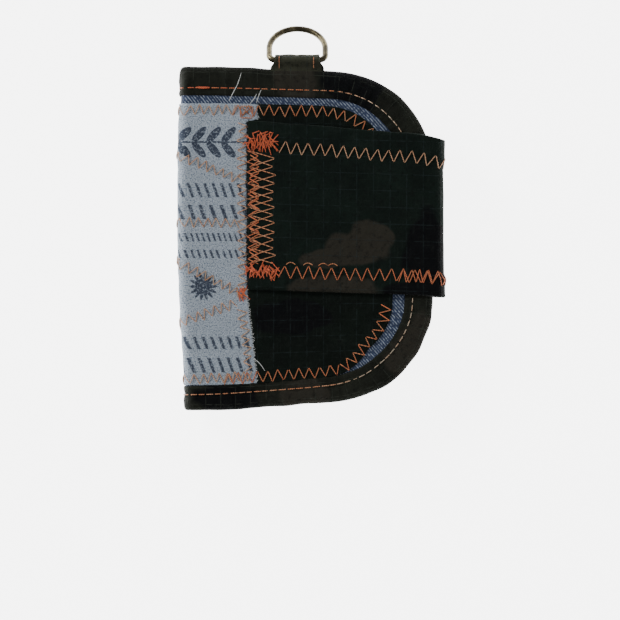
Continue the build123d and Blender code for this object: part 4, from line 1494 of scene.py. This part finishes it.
def build_fray():
    """Raw edges that shed yarn, and the few long thread ends left by the maker."""
    rng = np.random.default_rng(281)
    top = FRONT_MID + BASE_HALF + PATCH_THICK
    lines = []
    for y in np.arange(-17.0, 40.5, 0.55):
        long = rng.uniform(0.3, 1.5)
        lean = rng.uniform(-0.7, 0.7)
        z = STRAP_MID + rng.uniform(-0.3, 0.3)
        lines.append([(STRAP_LEFT + 0.5, y, z), (STRAP_LEFT - long * 0.5, y + lean * 0.4, z + 0.1),
                      (STRAP_LEFT - long, y + lean, z - rng.uniform(0.1, 0.4))])
    attach(yarn("strap_fray", lines, 0.09, DARK_YARN), "dark_ripstop", body="front_leaf")
    lines = []
    for y in np.concatenate([np.arange(-50.5, -19.5, 0.6), np.arange(41.8, 46.8, 0.6)]):
        x = float(print_edge(np.array(y)))
        long = rng.uniform(0.15, 0.8)
        px, py, _ = FRONT.place(x, y, 0)
        lines.append([(px - 0.4, py, top), (px + long * 0.5, py + rng.uniform(-0.3, 0.3), top + 0.25),
                      (px + long, py + rng.uniform(-0.6, 0.6), top + 0.05)])
    attach(yarn("print_fray", lines, 0.08, PALE_YARN), "print_cloth", body="front_leaf")
    high = top + 0.9
    ends = [
        [(-27.2, 48.0, top), (-26.0, 50.4, high), (-24.2, 53.6, high + 0.2), (-22.9, 57.8, high - 0.2)],
        [(-17.6, 47.4, top + 0.1), (-16.9, 49.6, high), (-16.0, 51.8, high + 0.2)],
        [(-18.4, -42.0, top + 0.2), (-16.4, -43.6, high), (-14.7, -46.2, top + 0.3)],
        [(-19.9, 47.0, top + 0.3), (-18.2, 49.0, high), (-17.6, 50.4, high - 0.2)],
    ]
    attach(yarn("loose_thread_ends", ends, 0.13, PALE_YARN), "print_cloth", body="front_leaf")


# ---------------------------------------------------------------- camera, floor and light
VIEW_WIDTH = 216.4
VIEW_CENTRE = (1.05, -25.0)
CAMERA_HEIGHT = 1000.0
SENSOR = 36.0
FLOOR_REACH = 3.0
FLOOR_DROP = 0.0002
LIGHTS = [
    ("key", (-1.15, 0.95, 0.8), 0.45, 21.0),
    ("fill", (1.0, -0.6, 1.3), 1.4, 5.0),
]
SKY = 0.5
FLOOR_GLOW = 5.5
WHITE = (1.0, 1.0, 1.0, 1.0)


def set_camera():
    """A camera straight above the wallet."""
    lens = bpy.data.cameras.new("camera")
    lens.sensor_width = SENSOR
    lens.lens = SENSOR * CAMERA_HEIGHT / VIEW_WIDTH
    camera = add_object("camera", lens)
    camera.location = [v * MM for v in (*VIEW_CENTRE, CAMERA_HEIGHT + layer("front_binding")[1])]
    bpy.context.scene.camera = camera


def set_floor():
    """A pale paper floor that glows softly."""
    mesh = bpy.data.meshes.new("floor")
    reach = FLOOR_REACH
    corners = [(-reach, -reach, 0), (reach, -reach, 0), (reach, reach, 0), (-reach, reach, 0)]
    mesh.from_pydata(corners, [], [(0, 1, 2, 3)])
    floor = add_object("floor", mesh)
    floor.location.z = -FLOOR_DROP
    n = Nodes("floor_paper")
    n.place = n.add("ShaderNodeTexCoord").outputs["Object"]
    colour = n.mix(n.noise(0.5, 2.0), srgb(246, 246, 245), srgb(248, 248, 247))
    mesh.materials.append(n.finish(colour, 0.95, glow=FLOOR_GLOW, glow_colour=WHITE))


def set_lights():
    """A small key light from the upper left, a wide fill and a white sky."""
    for name, place, size, power in LIGHTS:
        data = bpy.data.lights.new(name, "AREA")
        data.shape, data.size, data.energy = "DISK", size, power
        light = add_object(name, data)
        light.location = place
        light.rotation_euler = (-light.location).to_track_quat("-Z", "Y").to_euler()
    world = bpy.data.worlds.new("studio")
    world.use_nodes = True
    world.node_tree.nodes["Background"].inputs[0].default_value = WHITE
    world.node_tree.nodes["Background"].inputs[1].default_value = SKY
    bpy.context.scene.world = world


# ---------------------------------------------------------------- the wallet
set_camera()
set_floor()
set_lights()
build_leaves()
build_inner()
build_pockets()
build_tapes()
build_strap()
build_threads()
build_ring()
build_fray()
